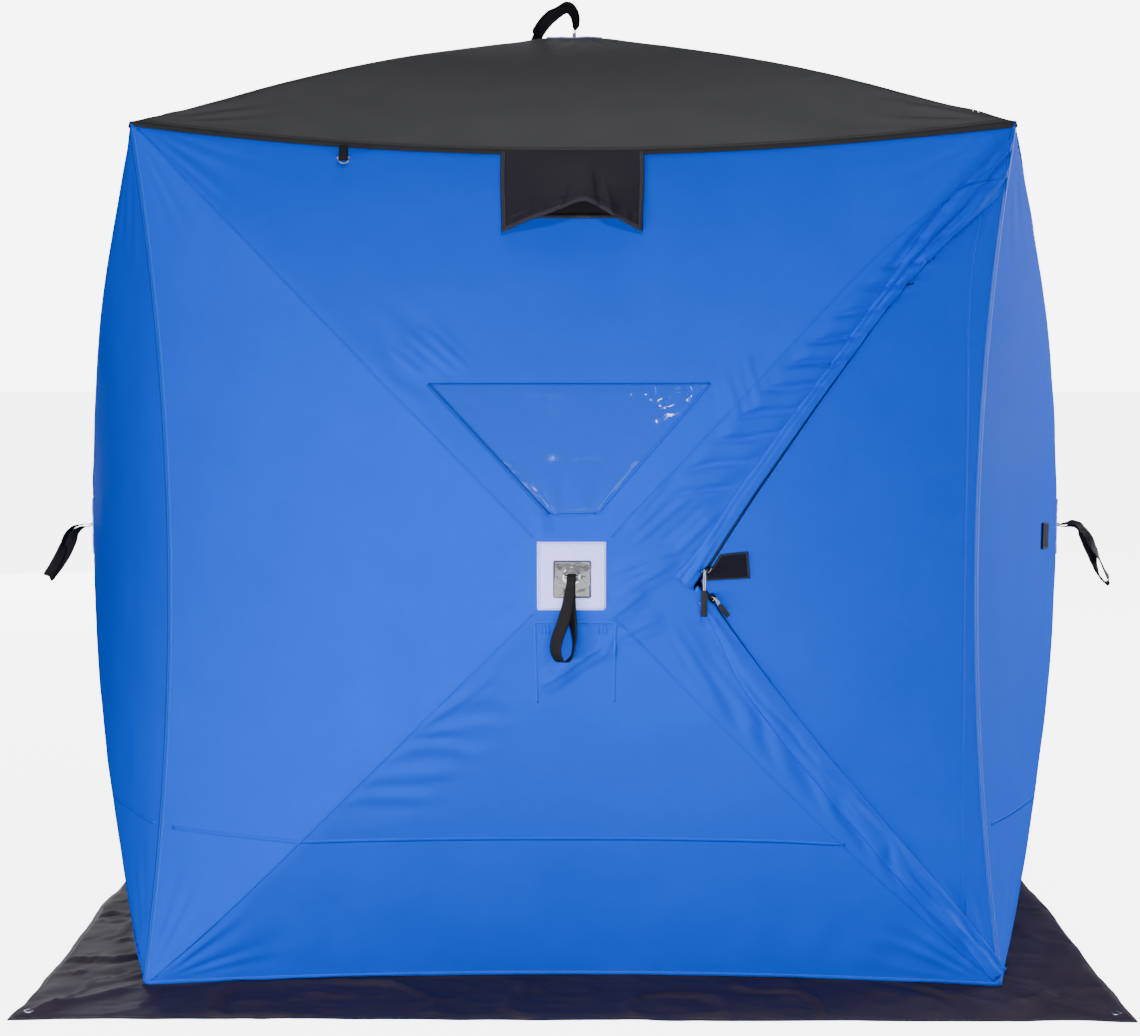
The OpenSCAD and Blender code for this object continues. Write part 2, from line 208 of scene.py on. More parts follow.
CREASES = [
    ((76, 8), (212, 48), 12.0, 7.0), ((205, 44), (285, 118), 10.5, 8.0), ((84, -42), (200, 22), 10.5, 7.0),
    ((72, -84), (142, -36), 9.8, 6.5), ((96, -118), (176, -84), 6.8, 8.0), ((-34, -202), (62, -138), 9.8, 6.5),
    ((-2, -180), (34, -112), 7.5, 6.0), ((-64, -224), (4, -182), 8.2, 6.5), ((60, -170), (84, -110), 6.0, 6.0),
    ((-322, 470), (-238, 398), 9.8, 8.0), ((-290, 480), (-206, 400), 8.2, 7.5), ((-360, 440), (-300, 392), 7.5, 8.0),
    ((-60, 124), (-56, 78), 7.5, 5.0), ((120, 60), (250, 170), 8.2, 9.0), ((110, 100), (190, 190), 6.8, 8.0),
    ((280, -150), (420, -330), 6.8, 10.0), ((200, -110), (300, -270), 6.0, 10.0), ((-150, -200), (-330, -330), 5.2, 11.0),
    ((330, 300), (300, 400), 6.0, 9.0), ((370, 330), (345, 430), 6.0, 9.0),
]

def wrinkles(face, x, y):
    """How far the fabric stands off its smooth form, in mm."""
    s, t = st_of(x, y, face != "roof")
    v = np.maximum(np.abs(s), np.abs(t))
    off = {"front": 0, "right": 31, "back": 57, "left": 93, "roof": 121}[face]
    edge = step(v, 1.0, 0.93)
    hub = step(v, 0.09, 0.16)
    w = 1.6 * fbm(x / 260 + off, y / 260 + off, 0) * edge * hub
    # fine pull lines that run out from the hub to the corners and along the panels
    ang = np.arctan2(y, x)
    r = np.hypot(x, y)
    near_edge = step(v, 0.45, 0.9) * step(v, 1.0, 0.97)
    corner = step(np.minimum(np.abs(s), np.abs(t)), 0.62, 0.95)
    # folds that radiate from every corner
    for cx in (-1, 1):
        for cy in (-1, 1):
            ax, ay = x - cx * H, y - cy * H
            rr = np.hypot(ax, ay)
            aa = np.arctan2(-cy * ay, -cx * ax)
            k = np.sin(aa * 34 + 2.2 * noise(aa * 5 + off, rr / 190 + off + cx, 2) + cx * 1.3 + cy)
            w = w + 2.6 * k * np.exp(-((rr - 120) / 130.0) ** 2) * step(rr, 12, 70) * edge
    # pull lines from the hub
    k = np.sin(ang * 22 + 2.0 * noise(ang * 3 + off, r / 150, 3))
    w = w + 1.1 * k * np.exp(-((r - 150) / 70.0) ** 2) * hub
    if face != "front":
        # light puckers along the poles
        dd = (np.abs(x) - np.abs(y)) / math.sqrt(2)
        along = (np.abs(x) + np.abs(y)) / math.sqrt(2)
        k = np.sin(along / 13.0 + 1.4 * noise(x / 90, y / 90, 4))
        w = w + 0.9 * k * np.exp(-((np.abs(dd) - 42) / 26.0) ** 2) * step(noise(x / 300 + off, y / 300, 5), -0.1, 0.6) * edge * hub
        return w
    # --- front wall: what the door's zips do to the fabric
    # puckers across the band between the upper right pole and the upper zip
    a, d, L = seg_dist(x, y, (95, 95), (H, H))
    band = step(-d, 4, 26) * step(-d, 112, 70)
    lo = step(a, 0.05, 0.2) * step(a, 0.86, 0.66)
    ph = y / 7.0 - x * 0.018 + 1.2 * noise(x / 90, y / 60, 1)
    fold = 1 - 2 * (1 - np.abs(np.sin(ph / 2))) ** 2.2
    w = w + 13.5 * fold * band * lo * (0.66 + 0.34 * noise(x / 60 + 5, y / 40, 2))
    # long folds that run into the corner over the upper zip
    w = w + 6.5 * np.sin(d / 5.2 + 9.0 * (1 - a) + 1.2 * noise(a * 7, d / 60, 3)) * step(a, 0.60, 0.76) * step(a, 1.0, 0.96) * step(-d, 2, 14) * step(-d, 100, 66)
    # lower left: faint puckers under the lower left pole
    a2, d2, L2 = seg_dist(x, y, (-95, -95), (-H, -H))
    w = w + 3.0 * np.sin(y / 8.5 + 1.5 * noise(x / 90, y / 60, 4)) * step(d2, 8, 30) * step(d2, 150, 90) * step(a2, 0.08, 0.2) * step(a2, 0.55, 0.38)
    # lower right, between the pole and the lower zip
    a3, d3, L3 = seg_dist(x, y, (95, -95), (H, -H))
    w = w + 3.2 * np.sin((x + y * 0.35) / 9.0 + 1.2 * noise(x / 70, y / 70, 5)) * step(d3, 4, 20) * step(d3, 92, 60) * step(a3, 0.08, 0.3) * step(a3, 0.97, 0.8)
    # upper left, beside the window
    k = np.sin(((x + y) / math.sqrt(2)) / 11.0 + 1.2 * noise(x / 80, y / 80, 1))
    w = w + 3.2 * k * np.exp(-((x + 330) / 75.0) ** 2 - ((y - 420) / 95.0) ** 2)
    # right of the window
    k = np.sin(((x - y * 0.4)) / 12.0 + 1.2 * noise(x / 60, y / 80, 2))
    w = w + 2.2 * k * np.exp(-((x - 330) / 90.0) ** 2 - ((y - 420) / 60.0) ** 2)
    # single creases: (from, to, height, half width)
    for p, q, h, b in CREASES:
        a, d, L = seg_dist(x, y, p, q)
        w = w + h * (np.exp(-(d / b) ** 2) + 0.45 * np.exp(-((np.abs(d) - 2.3 * b) / b) ** 2)) * step(a, -0.12, 0.25) * step(a, 1.12, 0.75)
    # ripples over the hem on the left
    k = np.sin(x / 19.0 + 0.8 * noise(x / 80, y / 80, 3))
    w = w + 1.8 * k * np.exp(-((y + 800) / 50.0) ** 2) * step(np.abs(x), 250, 600)
    return w

def held(face, x):
    """Share of the hub's travel left to the cloth. The strip beyond the door's hinge stays with the corner, as the hinge does."""
    return 1.0 - step(np.asarray(x, float), DX - 70.0, DX - 4.0) if face == "front" else 1.0

def surf(face, x, y, lift=0.0, wr=True):
    """World points on a face's outer surface at face coordinates x, y, lifted outward by lift mm."""
    wall = face != "roof"
    if face == "front":
        x, y = warp(x, y)
    s, t = st_of(x, y, wall)
    z = z_of(s, t, wall)
    if wr:
        z = z + wrinkles(face, x, y)
    return to_world(face, np.stack([np.asarray(x, float), np.asarray(y, float), z + lift], -1)), weight(s, t) * held(face, x)

# ------------------------------------------------------------------ mesh helpers
def make_mesh(name, verts, faces, smooth=True, mats=(), uv=None):
    me = bpy.data.meshes.new(name)
    me.from_pydata([tuple(map(float, v)) for v in verts], [], [tuple(map(int, f)) for f in faces])
    me.update()
    if smooth:
        me.polygons.foreach_set("use_smooth", [True] * len(me.polygons))
    ob = bpy.data.objects.new(name, me)
    bpy.context.scene.collection.objects.link(ob)
    for m in mats:
        me.materials.append(m)
    if uv is not None:
        at = me.attributes.new("along", "FLOAT_VECTOR", "POINT")
        flat = np.zeros((len(verts), 3), np.float32)
        flat[:, :2] = uv
        at.data.foreach_set("vector", flat.ravel())
    return ob

def set_blend(ob):
    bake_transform(ob)
    return ob

def solidify(ob, t, offset=-1.0):
    m = ob.modifiers.new("thick", "SOLIDIFY")
    m.thickness = t
    m.offset = offset
    m.use_even_offset = False
    apply_mods(ob)

def apply_mods(ob):
    dg = bpy.context.evaluated_depsgraph_get()
    ev = ob.evaluated_get(dg)
    me = bpy.data.meshes.new_from_object(ev)
    old = ob.data
    ob.modifiers.clear()
    ob.data = me
    if old.users == 0:
        bpy.data.meshes.remove(old)

# ------------------------------------------------------------------ materials
def lin(c):
    c = np.array(c, float) / 255.0
    return tuple(np.where(c <= 0.04045, c / 12.92, ((c + 0.055) / 1.055) ** 2.4)) + (1.0,)

class Mat:
    def __init__(self, name):
        self.m = bpy.data.materials.new(name)
        self.m.use_nodes = True
        self.nt = self.m.node_tree
        self.nt.nodes.clear()
        self.out = self.n("ShaderNodeOutputMaterial")
        self.b = self.n("ShaderNodeBsdfPrincipled")
        self.link(self.b.outputs[0], self.out.inputs[0])
    def n(self, t, **kw):
        node = self.nt.nodes.new(t)
        for k, v in kw.items():
            setattr(node, k, v)
        return node
    def link(self, a, b):
        self.nt.links.new(a, b)
    def coord(self, scale):
        t = self.n("ShaderNodeTexCoord")
        mp = self.n("ShaderNodeMapping")
        mp.inputs["Scale"].default_value = scale if hasattr(scale, "__len__") else (scale,) * 3
        self.link(t.outputs["Object"], mp.inputs["Vector"])
        return mp.outputs[0]
    def noise(self, vec, scale, detail=3.0, rough=0.55):
        k = self.n("ShaderNodeTexNoise")
        k.inputs["Scale"].default_value = scale
        k.inputs["Detail"].default_value = detail
        k.inputs["Roughness"].default_value = rough
        self.link(vec, k.inputs["Vector"])
        return k.outputs["Fac"]
    def wave(self, vec, scale, axis="X", dist=0.0, profile="SIN"):
        k = self.n("ShaderNodeTexWave")
        k.wave_type = "BANDS"
        k.bands_direction = axis
        k.wave_profile = profile
        k.inputs["Scale"].default_value = scale
        k.inputs["Distortion"].default_value = dist
        self.link(vec, k.inputs["Vector"])
        return k.outputs["Fac"]
    def math(self, op, a, b=None, clamp=False):
        k = self.n("ShaderNodeMath", operation=op)
        k.use_clamp = clamp
        for i, v in enumerate((a, b)):
            if v is None:
                continue
            if isinstance(v, (int, float)):
                k.inputs[i].default_value = v
            else:
                self.link(v, k.inputs[i])
        return k.outputs[0]
    def ramp(self, fac, stops):
        k = self.n("ShaderNodeValToRGB")
        cr = k.color_ramp
        while len(cr.elements) < len(stops):
            cr.elements.new(0.5)
        for e, (p, c) in zip(cr.elements, stops):
            e.position = p
            e.color = c if len(c) == 4 else tuple(c) + (1,)
        self.link(fac, k.inputs[0])
        return k.outputs[0]
    def mix(self, fac, a, b):
        k = self.n("ShaderNodeMix", data_type="RGBA")
        for sock, v in ((k.inputs[0], fac), (k.inputs[6], a), (k.inputs[7], b)):
            if isinstance(v, (int, float)):
                sock.default_value = v
            elif isinstance(v, tuple):
                sock.default_value = v
            else:
                self.link(v, sock)
        return k.outputs[2]
    def bump(self, height, strength=0.3, distance=0.001, normal=None):
        k = self.n("ShaderNodeBump")
        k.inputs["Strength"].default_value = strength
        k.inputs["Distance"].default_value = distance
        self.link(height, k.inputs["Height"])
        if normal is not None:
            self.link(normal, k.inputs["Normal"])
        return k.outputs[0]
    def set(self, **kw):
        for k, v in kw.items():
            k = k.replace("_", " ")
            self.b.inputs[k].default_value = v
        return self

def weave_height(m, pitch):
    """Plain weave: two crossed sets of threads, pitch metres apart, on any plane."""
    v = m.coord(1.0)
    f = math.pi / pitch / 20 * 10 / math.pi
    a = m.wave(v, 0.31831 / pitch / 2 * 1.0, "X")
    b = m.wave(v, 0.31831 / pitch / 2 * 1.0, "Y")
    c = m.wave(v, 0.31831 / pitch / 2 * 1.0, "Z")
    return m.math("ADD", m.math("MULTIPLY", a, c), m.math("MULTIPLY", b, c)), v

def shade(c, k):
    return tuple(k * x for x in c[:3]) + (1.0,)

def fabric(name, base, spread=0.10, rough=0.5, sheen=0.0, weave=0.0011, bump=0.22, spec=0.1, tint=None):
    """Woven cloth: base is its linear colour, spread how far the dye varies."""
    m = Mat(name)
    h, v = weave_height(m, weave)
    big = m.noise(v, 1.4, 3.0, 0.5)
    mid_n = m.noise(v, 9.0, 4.0, 0.6)
    fac = m.math("ADD", m.math("MULTIPLY", big, 0.6), m.math("MULTIPLY", mid_n, 0.4))
    col = m.ramp(fac, [(0.32, shade(base, 1 - spread)), (0.5, shade(base, 1.0)), (0.68, shade(base, 1 + spread))])
    fine = m.noise(v, 700.0, 2.0, 0.5)
    col = m.mix(m.math("MULTIPLY", fine, 0.20), col, shade(base, 0.6))
    m.link(col, m.b.inputs["Base Color"])
    r = m.math("ADD", m.math("MULTIPLY", mid_n, 0.2), rough - 0.1)
    m.link(r, m.b.inputs["Roughness"])
    n = m.bump(h, bump, 0.0004)
    n = m.bump(m.noise(v, 48.0, 4.0, 0.6), 0.12, 0.0015, n)
    m.link(n, m.b.inputs["Normal"])
    m.b.inputs["Sheen Weight"].default_value = sheen
    m.b.inputs["Sheen Roughness"].default_value = 0.4
    if tint:
        m.b.inputs["Sheen Tint"].default_value = tint
    m.b.inputs["Specular IOR Level"].default_value = spec
    return m.m

def plastic(name, col, rough=0.45, scale=600.0):
    m = Mat(name)
    v = m.coord(1.0)
    nz = m.noise(v, scale, 3.0, 0.6)
    big = m.noise(v, 22.0, 3.0, 0.6)
    c = m.mix(m.math("MULTIPLY", big, 0.5), col, tuple(min(1, 1.7 * x + 0.004) for x in col[:3]) + (1,))
    m.link(c, m.b.inputs["Base Color"])
    m.link(m.math("ADD", m.math("MULTIPLY", big, 0.2), rough - 0.1), m.b.inputs["Roughness"])
    m.link(m.bump(nz, 0.25, 0.0003), m.b.inputs["Normal"])
    return m.m

def metal(name, col, rough=0.35):
    m = Mat(name)
    v = m.coord((1.0, 1.0, 14.0))
    nz = m.noise(v, 260.0, 4.0, 0.7)
    big = m.noise(m.coord(1.0), 60.0, 3.0, 0.6)
    m.link(m.mix(m.math("MULTIPLY", big, 0.6), col, tuple(0.55 * x for x in col[:3]) + (1,)), m.b.inputs["Base Color"])
    m.link(m.math("ADD", m.math("MULTIPLY", nz, 0.25), rough - 0.1), m.b.inputs["Roughness"])
    m.link(m.bump(nz, 0.15, 0.0002), m.b.inputs["Normal"])
    m.b.inputs["Metallic"].default_value = 0.95
    return m.m

def ribbon_mat(name, dark, light, rough=0.7, rib=0.0016, edge_stitch=0.0, thread=None, width=1.0, sheen=0.0, spec=0.12):
    """Webbing, tape or hem. The 'along' attribute holds (metres along, metres across from the middle)."""
    m = Mat(name)
    at = m.n("ShaderNodeAttribute")
    at.attribute_name = "along"
    sp = m.n("ShaderNodeSeparateXYZ")
    m.link(at.outputs["Vector"], sp.inputs[0])
    u, w = sp.outputs[0], sp.outputs[1]
    a = m.math("SINE", m.math("MULTIPLY", u, 2 * math.pi / rib))
    b = m.math("SINE", m.math("MULTIPLY", w, 2 * math.pi / (rib * 0.8)))
    h = m.math("MULTIPLY", a, b)
    v = m.coord(1.0)
    nz = m.noise(v, 140.0, 3.0, 0.6)
    col = m.mix(nz, dark, light)
    if thread is not None:
        # two rows of stitches beside the edges
        aw = m.math("ABSOLUTE", w)
        row = m.math("LESS_THAN", m.math("ABSOLUTE", m.math("SUBTRACT", aw, edge_stitch)), 0.0006)
        dash = m.math("GREATER_THAN", m.math("SINE", m.math("MULTIPLY", u, 2 * math.pi / 0.0042)), -0.35)
        st = m.math("MULTIPLY", row, dash)
        col = m.mix(st, col, thread)
        h = m.math("ADD", m.math("MULTIPLY", h, 0.35), m.math("MULTIPLY", st, 1.5))
        pull = m.math("LESS_THAN", m.math("ABSOLUTE", m.math("SUBTRACT", aw, edge_stitch)), 0.0016)
        h = m.math("SUBTRACT", h, m.math("MULTIPLY", pull, 0.6))
    m.link(col, m.b.inputs["Base Color"])
    m.link(m.bump(h, 0.5, 0.0005), m.b.inputs["Normal"])
    m.link(m.math("ADD", m.math("MULTIPLY", nz, 0.2), rough - 0.1), m.b.inputs["Roughness"])
    m.b.inputs["Sheen Weight"].default_value = sheen
    m.b.inputs["Specular IOR Level"].default_value = spec
    return m.m

B0 = (0.0022, 0.087, 0.82, 1)
BLUE = fabric("blue_oxford", B0, spread=0.06, rough=0.55, spec=0.02)
BLUE_HEM = ribbon_mat("blue_seam", shade(B0, 0.86), shade(B0, 1.0), rough=0.5, edge_stitch=0.0016, thread=(0.02, 0.17, 0.86, 1), rib=0.0011)
# darkened copy of the wall blue, used on the window's top and left edges: painted shade
BLUE_BIND_SHADED = ribbon_mat("blue_binding_shaded", shade(B0, 0.55), shade(B0, 0.72), rough=0.5, edge_stitch=0.0016, thread=(0.006, 0.10, 0.62, 1), rib=0.0011)
K0 = (0.043, 0.0435, 0.049, 1)
ROOF = fabric("black_oxford_roof", K0, spread=0.08, rough=0.55, spec=0.2)
ROOF_HEM = ribbon_mat("roof_seam", shade(K0, 0.5), shade(K0, 0.75), rough=0.6, edge_stitch=0.0022, thread=shade(K0, 1.2), rib=0.0011)
SKIRT = fabric("skirt_poly", (0.046, 0.034, 0.046, 1), spread=0.16, rough=0.65, weave=0.0009, spec=0.08)
HOOD = fabric("hood_oxford", (0.021, 0.018, 0.028, 1), spread=0.10, rough=0.6, spec=0.12)
WEB = ribbon_mat("black_webbing", (0.005, 0.0045, 0.006, 1), (0.015, 0.013, 0.017, 1), rough=0.66, rib=0.0026, edge_stitch=0.0095, thread=(0.03, 0.027, 0.032, 1), spec=0.16)
TAPE = ribbon_mat("zip_tape", (0.0012, 0.010, 0.06, 1), (0.002, 0.022, 0.12, 1), rough=0.7, rib=0.0014, edge_stitch=0.0100, thread=(0.01, 0.08, 0.4, 1))
HEMB = ribbon_mat("black_hem", (0.020, 0.018, 0.026, 1), (0.036, 0.032, 0.046, 1), rough=0.6, rib=0.0014, edge_stitch=0.0022, thread=(0.075, 0.07, 0.09, 1), spec=0.25)
# pale lavender cloth; colour values above 1 give back more light than falls on the patch, painted extra brightness on
# top of its own colour
PATCH = fabric("patch_cloth_overbright", (0.84, 0.89, 1.9, 1), spread=0.05, rough=0.7, weave=0.0010, bump=0.35, spec=0.2)
PATCH_HEM = ribbon_mat("patch_hem_overbright", (0.76, 0.80, 1.60, 1), (0.90, 0.94, 1.90, 1), rough=0.7, edge_stitch=0.0, thread=(0.36, 0.35, 0.48, 1), rib=0.0012, spec=0.2)
TAB = fabric("hook_loop", (0.010, 0.010, 0.020, 1), spread=0.3, rough=0.85, sheen=0.05, weave=0.0018, bump=0.6, spec=0.1)
BLUE_FLAT = fabric("blue_seam_flat", shade(B0, 0.97), spread=0.04, rough=0.55, spec=0.02)
ROOF_FLAT = fabric("roof_seam_flat", shade(K0, 0.85), spread=0.06, rough=0.55, spec=0.2)
PLASTIC = plastic("black_nylon", lin((26, 26, 28)))
GREYP = plastic("grey_nylon", lin((120, 120, 126)), rough=0.5)
RUBBER = plastic("rubber_tab", lin((24, 24, 26)), rough=0.7, scale=900.0)
STEEL = metal("zinc_steel", lin((172, 173, 178)), 0.35)
DARKSTEEL = metal("black_steel", lin((44, 45, 50)), 0.4)
COIL = plastic("nylon_coil", (0.002, 0.008, 0.05, 1), rough=0.4)
CORD = ribbon_mat("pale_cord", (0.42, 0.42, 0.48, 1), (0.72, 0.72, 0.78, 1), rough=0.6, rib=0.002)

def rod_mat():
    m = Mat("fibreglass_rod")
    v = m.coord(1.0)
    nz = m.noise(v, 420.0, 4.0, 0.7)
    lo = m.noise(v, 8.0, 2.0, 0.5)
    c = m.mix(nz, lin((24, 24, 26)), lin((58, 58, 60)))
    c = m.mix(m.math("MULTIPLY", lo, 0.4), c, lin((80, 80, 80)))
    m.link(c, m.b.inputs["Base Color"])
    m.link(m.math("ADD", m.math("MULTIPLY", nz, 0.15), 0.3), m.b.inputs["Roughness"])
    m.link(m.bump(nz, 0.2, 0.0003), m.b.inputs["Normal"])
    return m.m
ROD = rod_mat()

def film_mat():
    m = Mat("clear_film")
    v = m.coord(1.0)
    nz = m.noise(v, 14.0, 4.0, 0.6)
    m.b.inputs["Base Color"].default_value = (0.05, 0.16, 0.75, 1)
    m.b.inputs["Alpha"].default_value = 0.22
    m.link(m.math("ADD", m.math("MULTIPLY", nz, 0.08), 0.05), m.b.inputs["Roughness"])
    m.link(m.bump(nz, 0.5, 0.003), m.b.inputs["Normal"])
    m.b.inputs["Specular IOR Level"].default_value = 0.8
    m.b.inputs["Coat Weight"].default_value = 0.25
    m.b.inputs["Coat Roughness"].default_value = 0.04
    return m.m
FILM = film_mat()

def netting_with_shaded_gaps_mat():
    m = Mat("vent_netting_dark_inside")
    v = m.coord(1.0)
    a = m.wave(v, 0.31831 / 0.003 / 2, "X")
    b = m.wave(v, 0.31831 / 0.003 / 2, "Z")
    # raised threads in the netting's own black; the gaps between them are painted near-black, painted shade of the
    # unlit inside behind the netting
    net = m.math("GREATER_THAN", m.math("MAXIMUM", a, b), 0.62)
    m.link(m.mix(net, lin((4, 4, 8)), lin((26, 26, 34))), m.b.inputs["Base Color"])
    m.link(m.bump(net, 0.7, 0.0006), m.b.inputs["Normal"])
    m.b.inputs["Roughness"].default_value = 0.8
    return m.m
NET_SHADED_GAPS = netting_with_shaded_gaps_mat()

# ------------------------------------------------------------------ fabric faces
def grid_face(face, step_mm, inset=0.0):
    wall = face != "roof"
    n = int(round(2 * H / step_mm))
    n += n % 2
    k = np.linspace(-1, 1, n + 1)
    S, T = np.meshgrid(k, k)
    x, y = xy_of(S, T, wall)
    return x, y, n

def build_face(face, step_mm, cuts=(), keep=None, name=None, body=None, mats=(BLUE,), wr=True):
    """One continuous sheet for a face. cuts are lines (p, q) that edges must follow, keep says which faces stay."""
    x, y, n = grid_face(face, step_mm)
    bm = bmesh.new()
    vs = [bm.verts.new((a, b, 0)) for a, b in zip(x.ravel(), y.ravel())]
    w = n + 1
    for j in range(n):
        for i in range(n):
            a = j * w + i
            bm.faces.new((vs[a], vs[a + 1], vs[a + 1 + w], vs[a + w]))
    for p, q, only in cuts:
        d = np.array(q, float) - np.array(p, float)
        nrm = Vector((-d[1], d[0], 0)).normalized()
        geom = [g for g in (bm.faces[:] + bm.edges[:] + bm.verts[:])]
        if only is not None:
            bm.faces.ensure_lookup_table()
            fs = [f for f in bm.faces if only(f.calc_center_median().x, f.calc_center_median().y)]
            es = {e for f in fs for e in f.edges}
            vv = {v for f in fs for v in f.verts}
            geom = fs + list(es) + list(vv)
        bmesh.ops.bisect_plane(bm, geom=geom, plane_co=Vector((p[0], p[1], 0)), plane_no=nrm, dist=0.02)
    if keep is not None:
        c = np.array([f.calc_center_median()[:2] for f in bm.faces])
        ok = keep(c[:, 0], c[:, 1])
        bmesh.ops.delete(bm, geom=[f for f, k in zip(bm.faces, ok) if not k], context="FACES")
    bm.verts.ensure_lookup_table()
    co = np.array([v.co[:2] for v in bm.verts])
    pts, wt = surf(face, co[:, 0], co[:, 1], wr=wr)
    for v, p in zip(bm.verts, pts):
        v.co = p
    me = bpy.data.meshes.new(name)
    bm.to_mesh(me)
    bm.free()
    me.polygons.foreach_set("use_smooth", [True] * len(me.polygons))
    for m in mats:
        me.materials.append(m)
    ob = bpy.data.objects.new(name, me)
    bpy.context.scene.collection.objects.link(ob)
    return ob, co

def hold_face(ob):
    set_blend(ob)
    return ob

def strip(face, name, pts, width, lift, mat, thick=0.9, body=None, wr=True, seg=8.0, across=3, profile=None, closed=False):
    """A sewn strip that follows the surface along face points pts (mm)."""
    pts = np.array(pts, float)
    if closed:
        pts = np.vstack([pts, pts[:1]])
    d = np.r_[0, np.cumsum(np.hypot(*np.diff(pts, axis=0).T))]
    n = max(2, int(d[-1] / seg))
    u = np.linspace(0, d[-1], n + 1)
    cx, cy = np.interp(u, d, pts[:, 0]), np.interp(u, d, pts[:, 1])
    tx, ty = np.gradient(cx), np.gradient(cy)
    L = np.hypot(tx, ty)
    nx, ny = -ty / L, tx / L
    k = np.linspace(-0.5, 0.5, across)
    X = cx[:, None] + nx[:, None] * k * width
    Y = cy[:, None] + ny[:, None] * k * width
    up = np.broadcast_to(lift * np.ones_like(k) if profile is None else lift + profile(k), X.shape)
    P, _ = surf(face, X.ravel(), Y.ravel(), wr=wr)
    m, o = FM[face]
    P = P + (up.ravel()[:, None] * m[:, 2][None, :]) / 1000.0
    faces = []
    w = across
    for i in range(n):
        for j in range(across - 1):
            a = i * w + j
            faces.append((a, a + 1, a + 1 + w, a + w)[::-1])
    uv = np.stack([np.repeat(u, across) / 1000.0, np.tile(k * width, n + 1) / 1000.0], -1)
    ob = make_mesh(name, P, faces, uv=uv, mats=(mat,))
    fix_out(ob, m[:, 2])
    if thick:
        solidify(ob, thick / 1000.0, 1.0)
    return ob

def fix_out(ob, direction):
    me = ob.data
    me.update()
    nrm = np.array([p.normal for p in me.polygons])
    if (nrm @ np.asarray(direction)).sum() < 0:
        me.flip_normals()
        me.update()

def line(p, q, n=60):
    t = np.linspace(0, 1, n)[:, None]
    return np.array(p, float) * (1 - t) + np.array(q, float) * t

def edge_pts(face, side, inset=0.0, n=90):
    """Points along an edge of a face, a little inside it."""
    wall = face != "roof"
    k = np.linspace(-1 + inset / H, 1 - inset / H, n)
    v = np.full(n, 1 - inset / H)
    s, t = {"top": (k, v), "bottom": (k, -v), "left": (-v, k), "right": (v, k)}[side]
    x, y = xy_of(s, t, wall)
    return np.stack([x, y], -1)

HALF = 5.0
su = (DU[1] - DV[1]) / (DU[0] - DV[0])
sl = (DL[1] - DV[1]) / (DL[0] - DV[0])
ru, rl = HALF * math.sqrt(1 + su * su), HALF * math.sqrt(1 + sl * sl)
def on_u(x): return DV[1] + su * (x - DV[0])
def on_l(x): return DV[1] + sl * (x - DV[0])

soft = []

FAB_NODE = {"front": "wall_front", "right": "wall_right", "back": "wall_back", "left": "wall_left", "roof": "roof"}

def in_door(x, y):
    return (x > DV[0] - 20) & (x < DX) & (y < on_u(x) - ru + 1e-6) & (y > on_l(x) + rl - 1e-6)
def in_gap(x, y):
    """Where the zips are: neither wall nor door."""
    up = (np.abs(y - on_u(x)) < ru) & (x > DV[0] - 8) & (x < DX)
    lo = (np.abs(y - on_l(x)) < rl) & (x > DV[0] - 8) & (x < DX)
    tip = (x > DV[0] - 8) & (x < DV[0] + 40) & (y < on_u(x) + ru) & (y > on_l(x) - rl) & ~in_door(x, y)
    return up | lo | tip

all_seams = {f: [] for f in FM}
for face in ("right", "back", "left", "roof"):
    ob, _ = build_face(face, 8.0 if face == "roof" else 12.0, name=f"{FAB_NODE[face]}_sheet", mats=(ROOF if face == "roof" else BLUE,))
    fix_out(ob, FM[face][0][:, 2])
    solidify(ob, 0.0012, -1.0)
    hold_face(ob)
    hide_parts(FAB_NODE[face])

VX0 = DV[0] - 8
lines = [
    ((DV[0], on_u(DV[0]) + ru), (DU[0], on_u(DU[0]) + ru), None),
    ((DV[0], on_u(DV[0]) - ru), (DU[0], on_u(DU[0]) - ru), None),
    ((DV[0], on_l(DV[0]) + rl), (DL[0], on_l(DL[0]) + rl), None),
    ((DV[0], on_l(DV[0]) - rl), (DL[0], on_l(DL[0]) - rl), None),
    ((DX, -H), (DX, H), None),
    ((VX0, -60), (VX0, 60), lambda x, y: abs(y) < 120),
]
front, _ = build_face("front", 6.0, cuts=lines, keep=lambda x, y: ~(in_door(x, y) | in_gap(x, y)), name="wall_front_sheet")
fix_out(front, FM["front"][0][:, 2])
solidify(front, 0.0012, -1.0)
hold_face(front)
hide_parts("wall_front")

door, _ = build_face("front", 8.0, cuts=lines, keep=in_door, name="door_sheet")
fix_out(door, FM["front"][0][:, 2])
solidify(door, 0.0012, -1.0)
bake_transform(door)
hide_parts("door_panel")

# ------------------------------------------------------------------ window
WIN = [(-284, 371), (274, 371), (49, 120), (-44, 118)]
def quad_patch(face, corners, nx, ny, lift, wr_scale=1.0, extra=None):
    a, b, c, d = [np.array(p, float) for p in corners]   # tl, tr, br, bl
    u = np.linspace(0, 1, nx + 1); v = np.linspace(0, 1, ny + 1)
    U, V = np.meshgrid(u, v)
    P = (a * (1 - U)[..., None] + b * U[..., None]) * (1 - V)[..., None] + (d * (1 - U)[..., None] + c * U[..., None]) * V[..., None]
    X, Y = P[..., 0].ravel(), P[..., 1].ravel()
    pts, w = surf(face, X, Y)
    up = np.full(len(X), float(lift))
    if extra is not None:
        up = up + extra(U.ravel(), V.ravel(), X, Y)
    m, o = FM[face]
    pts = pts + up[:, None] * m[:, 2][None, :] / 1000.0
    faces = []
    k = nx + 1
    for j in range(ny):
        for i in range(nx):
            q = j * k + i
            faces.append((q, q + k, q + k + 1, q + 1))
    return pts, faces, X, Y

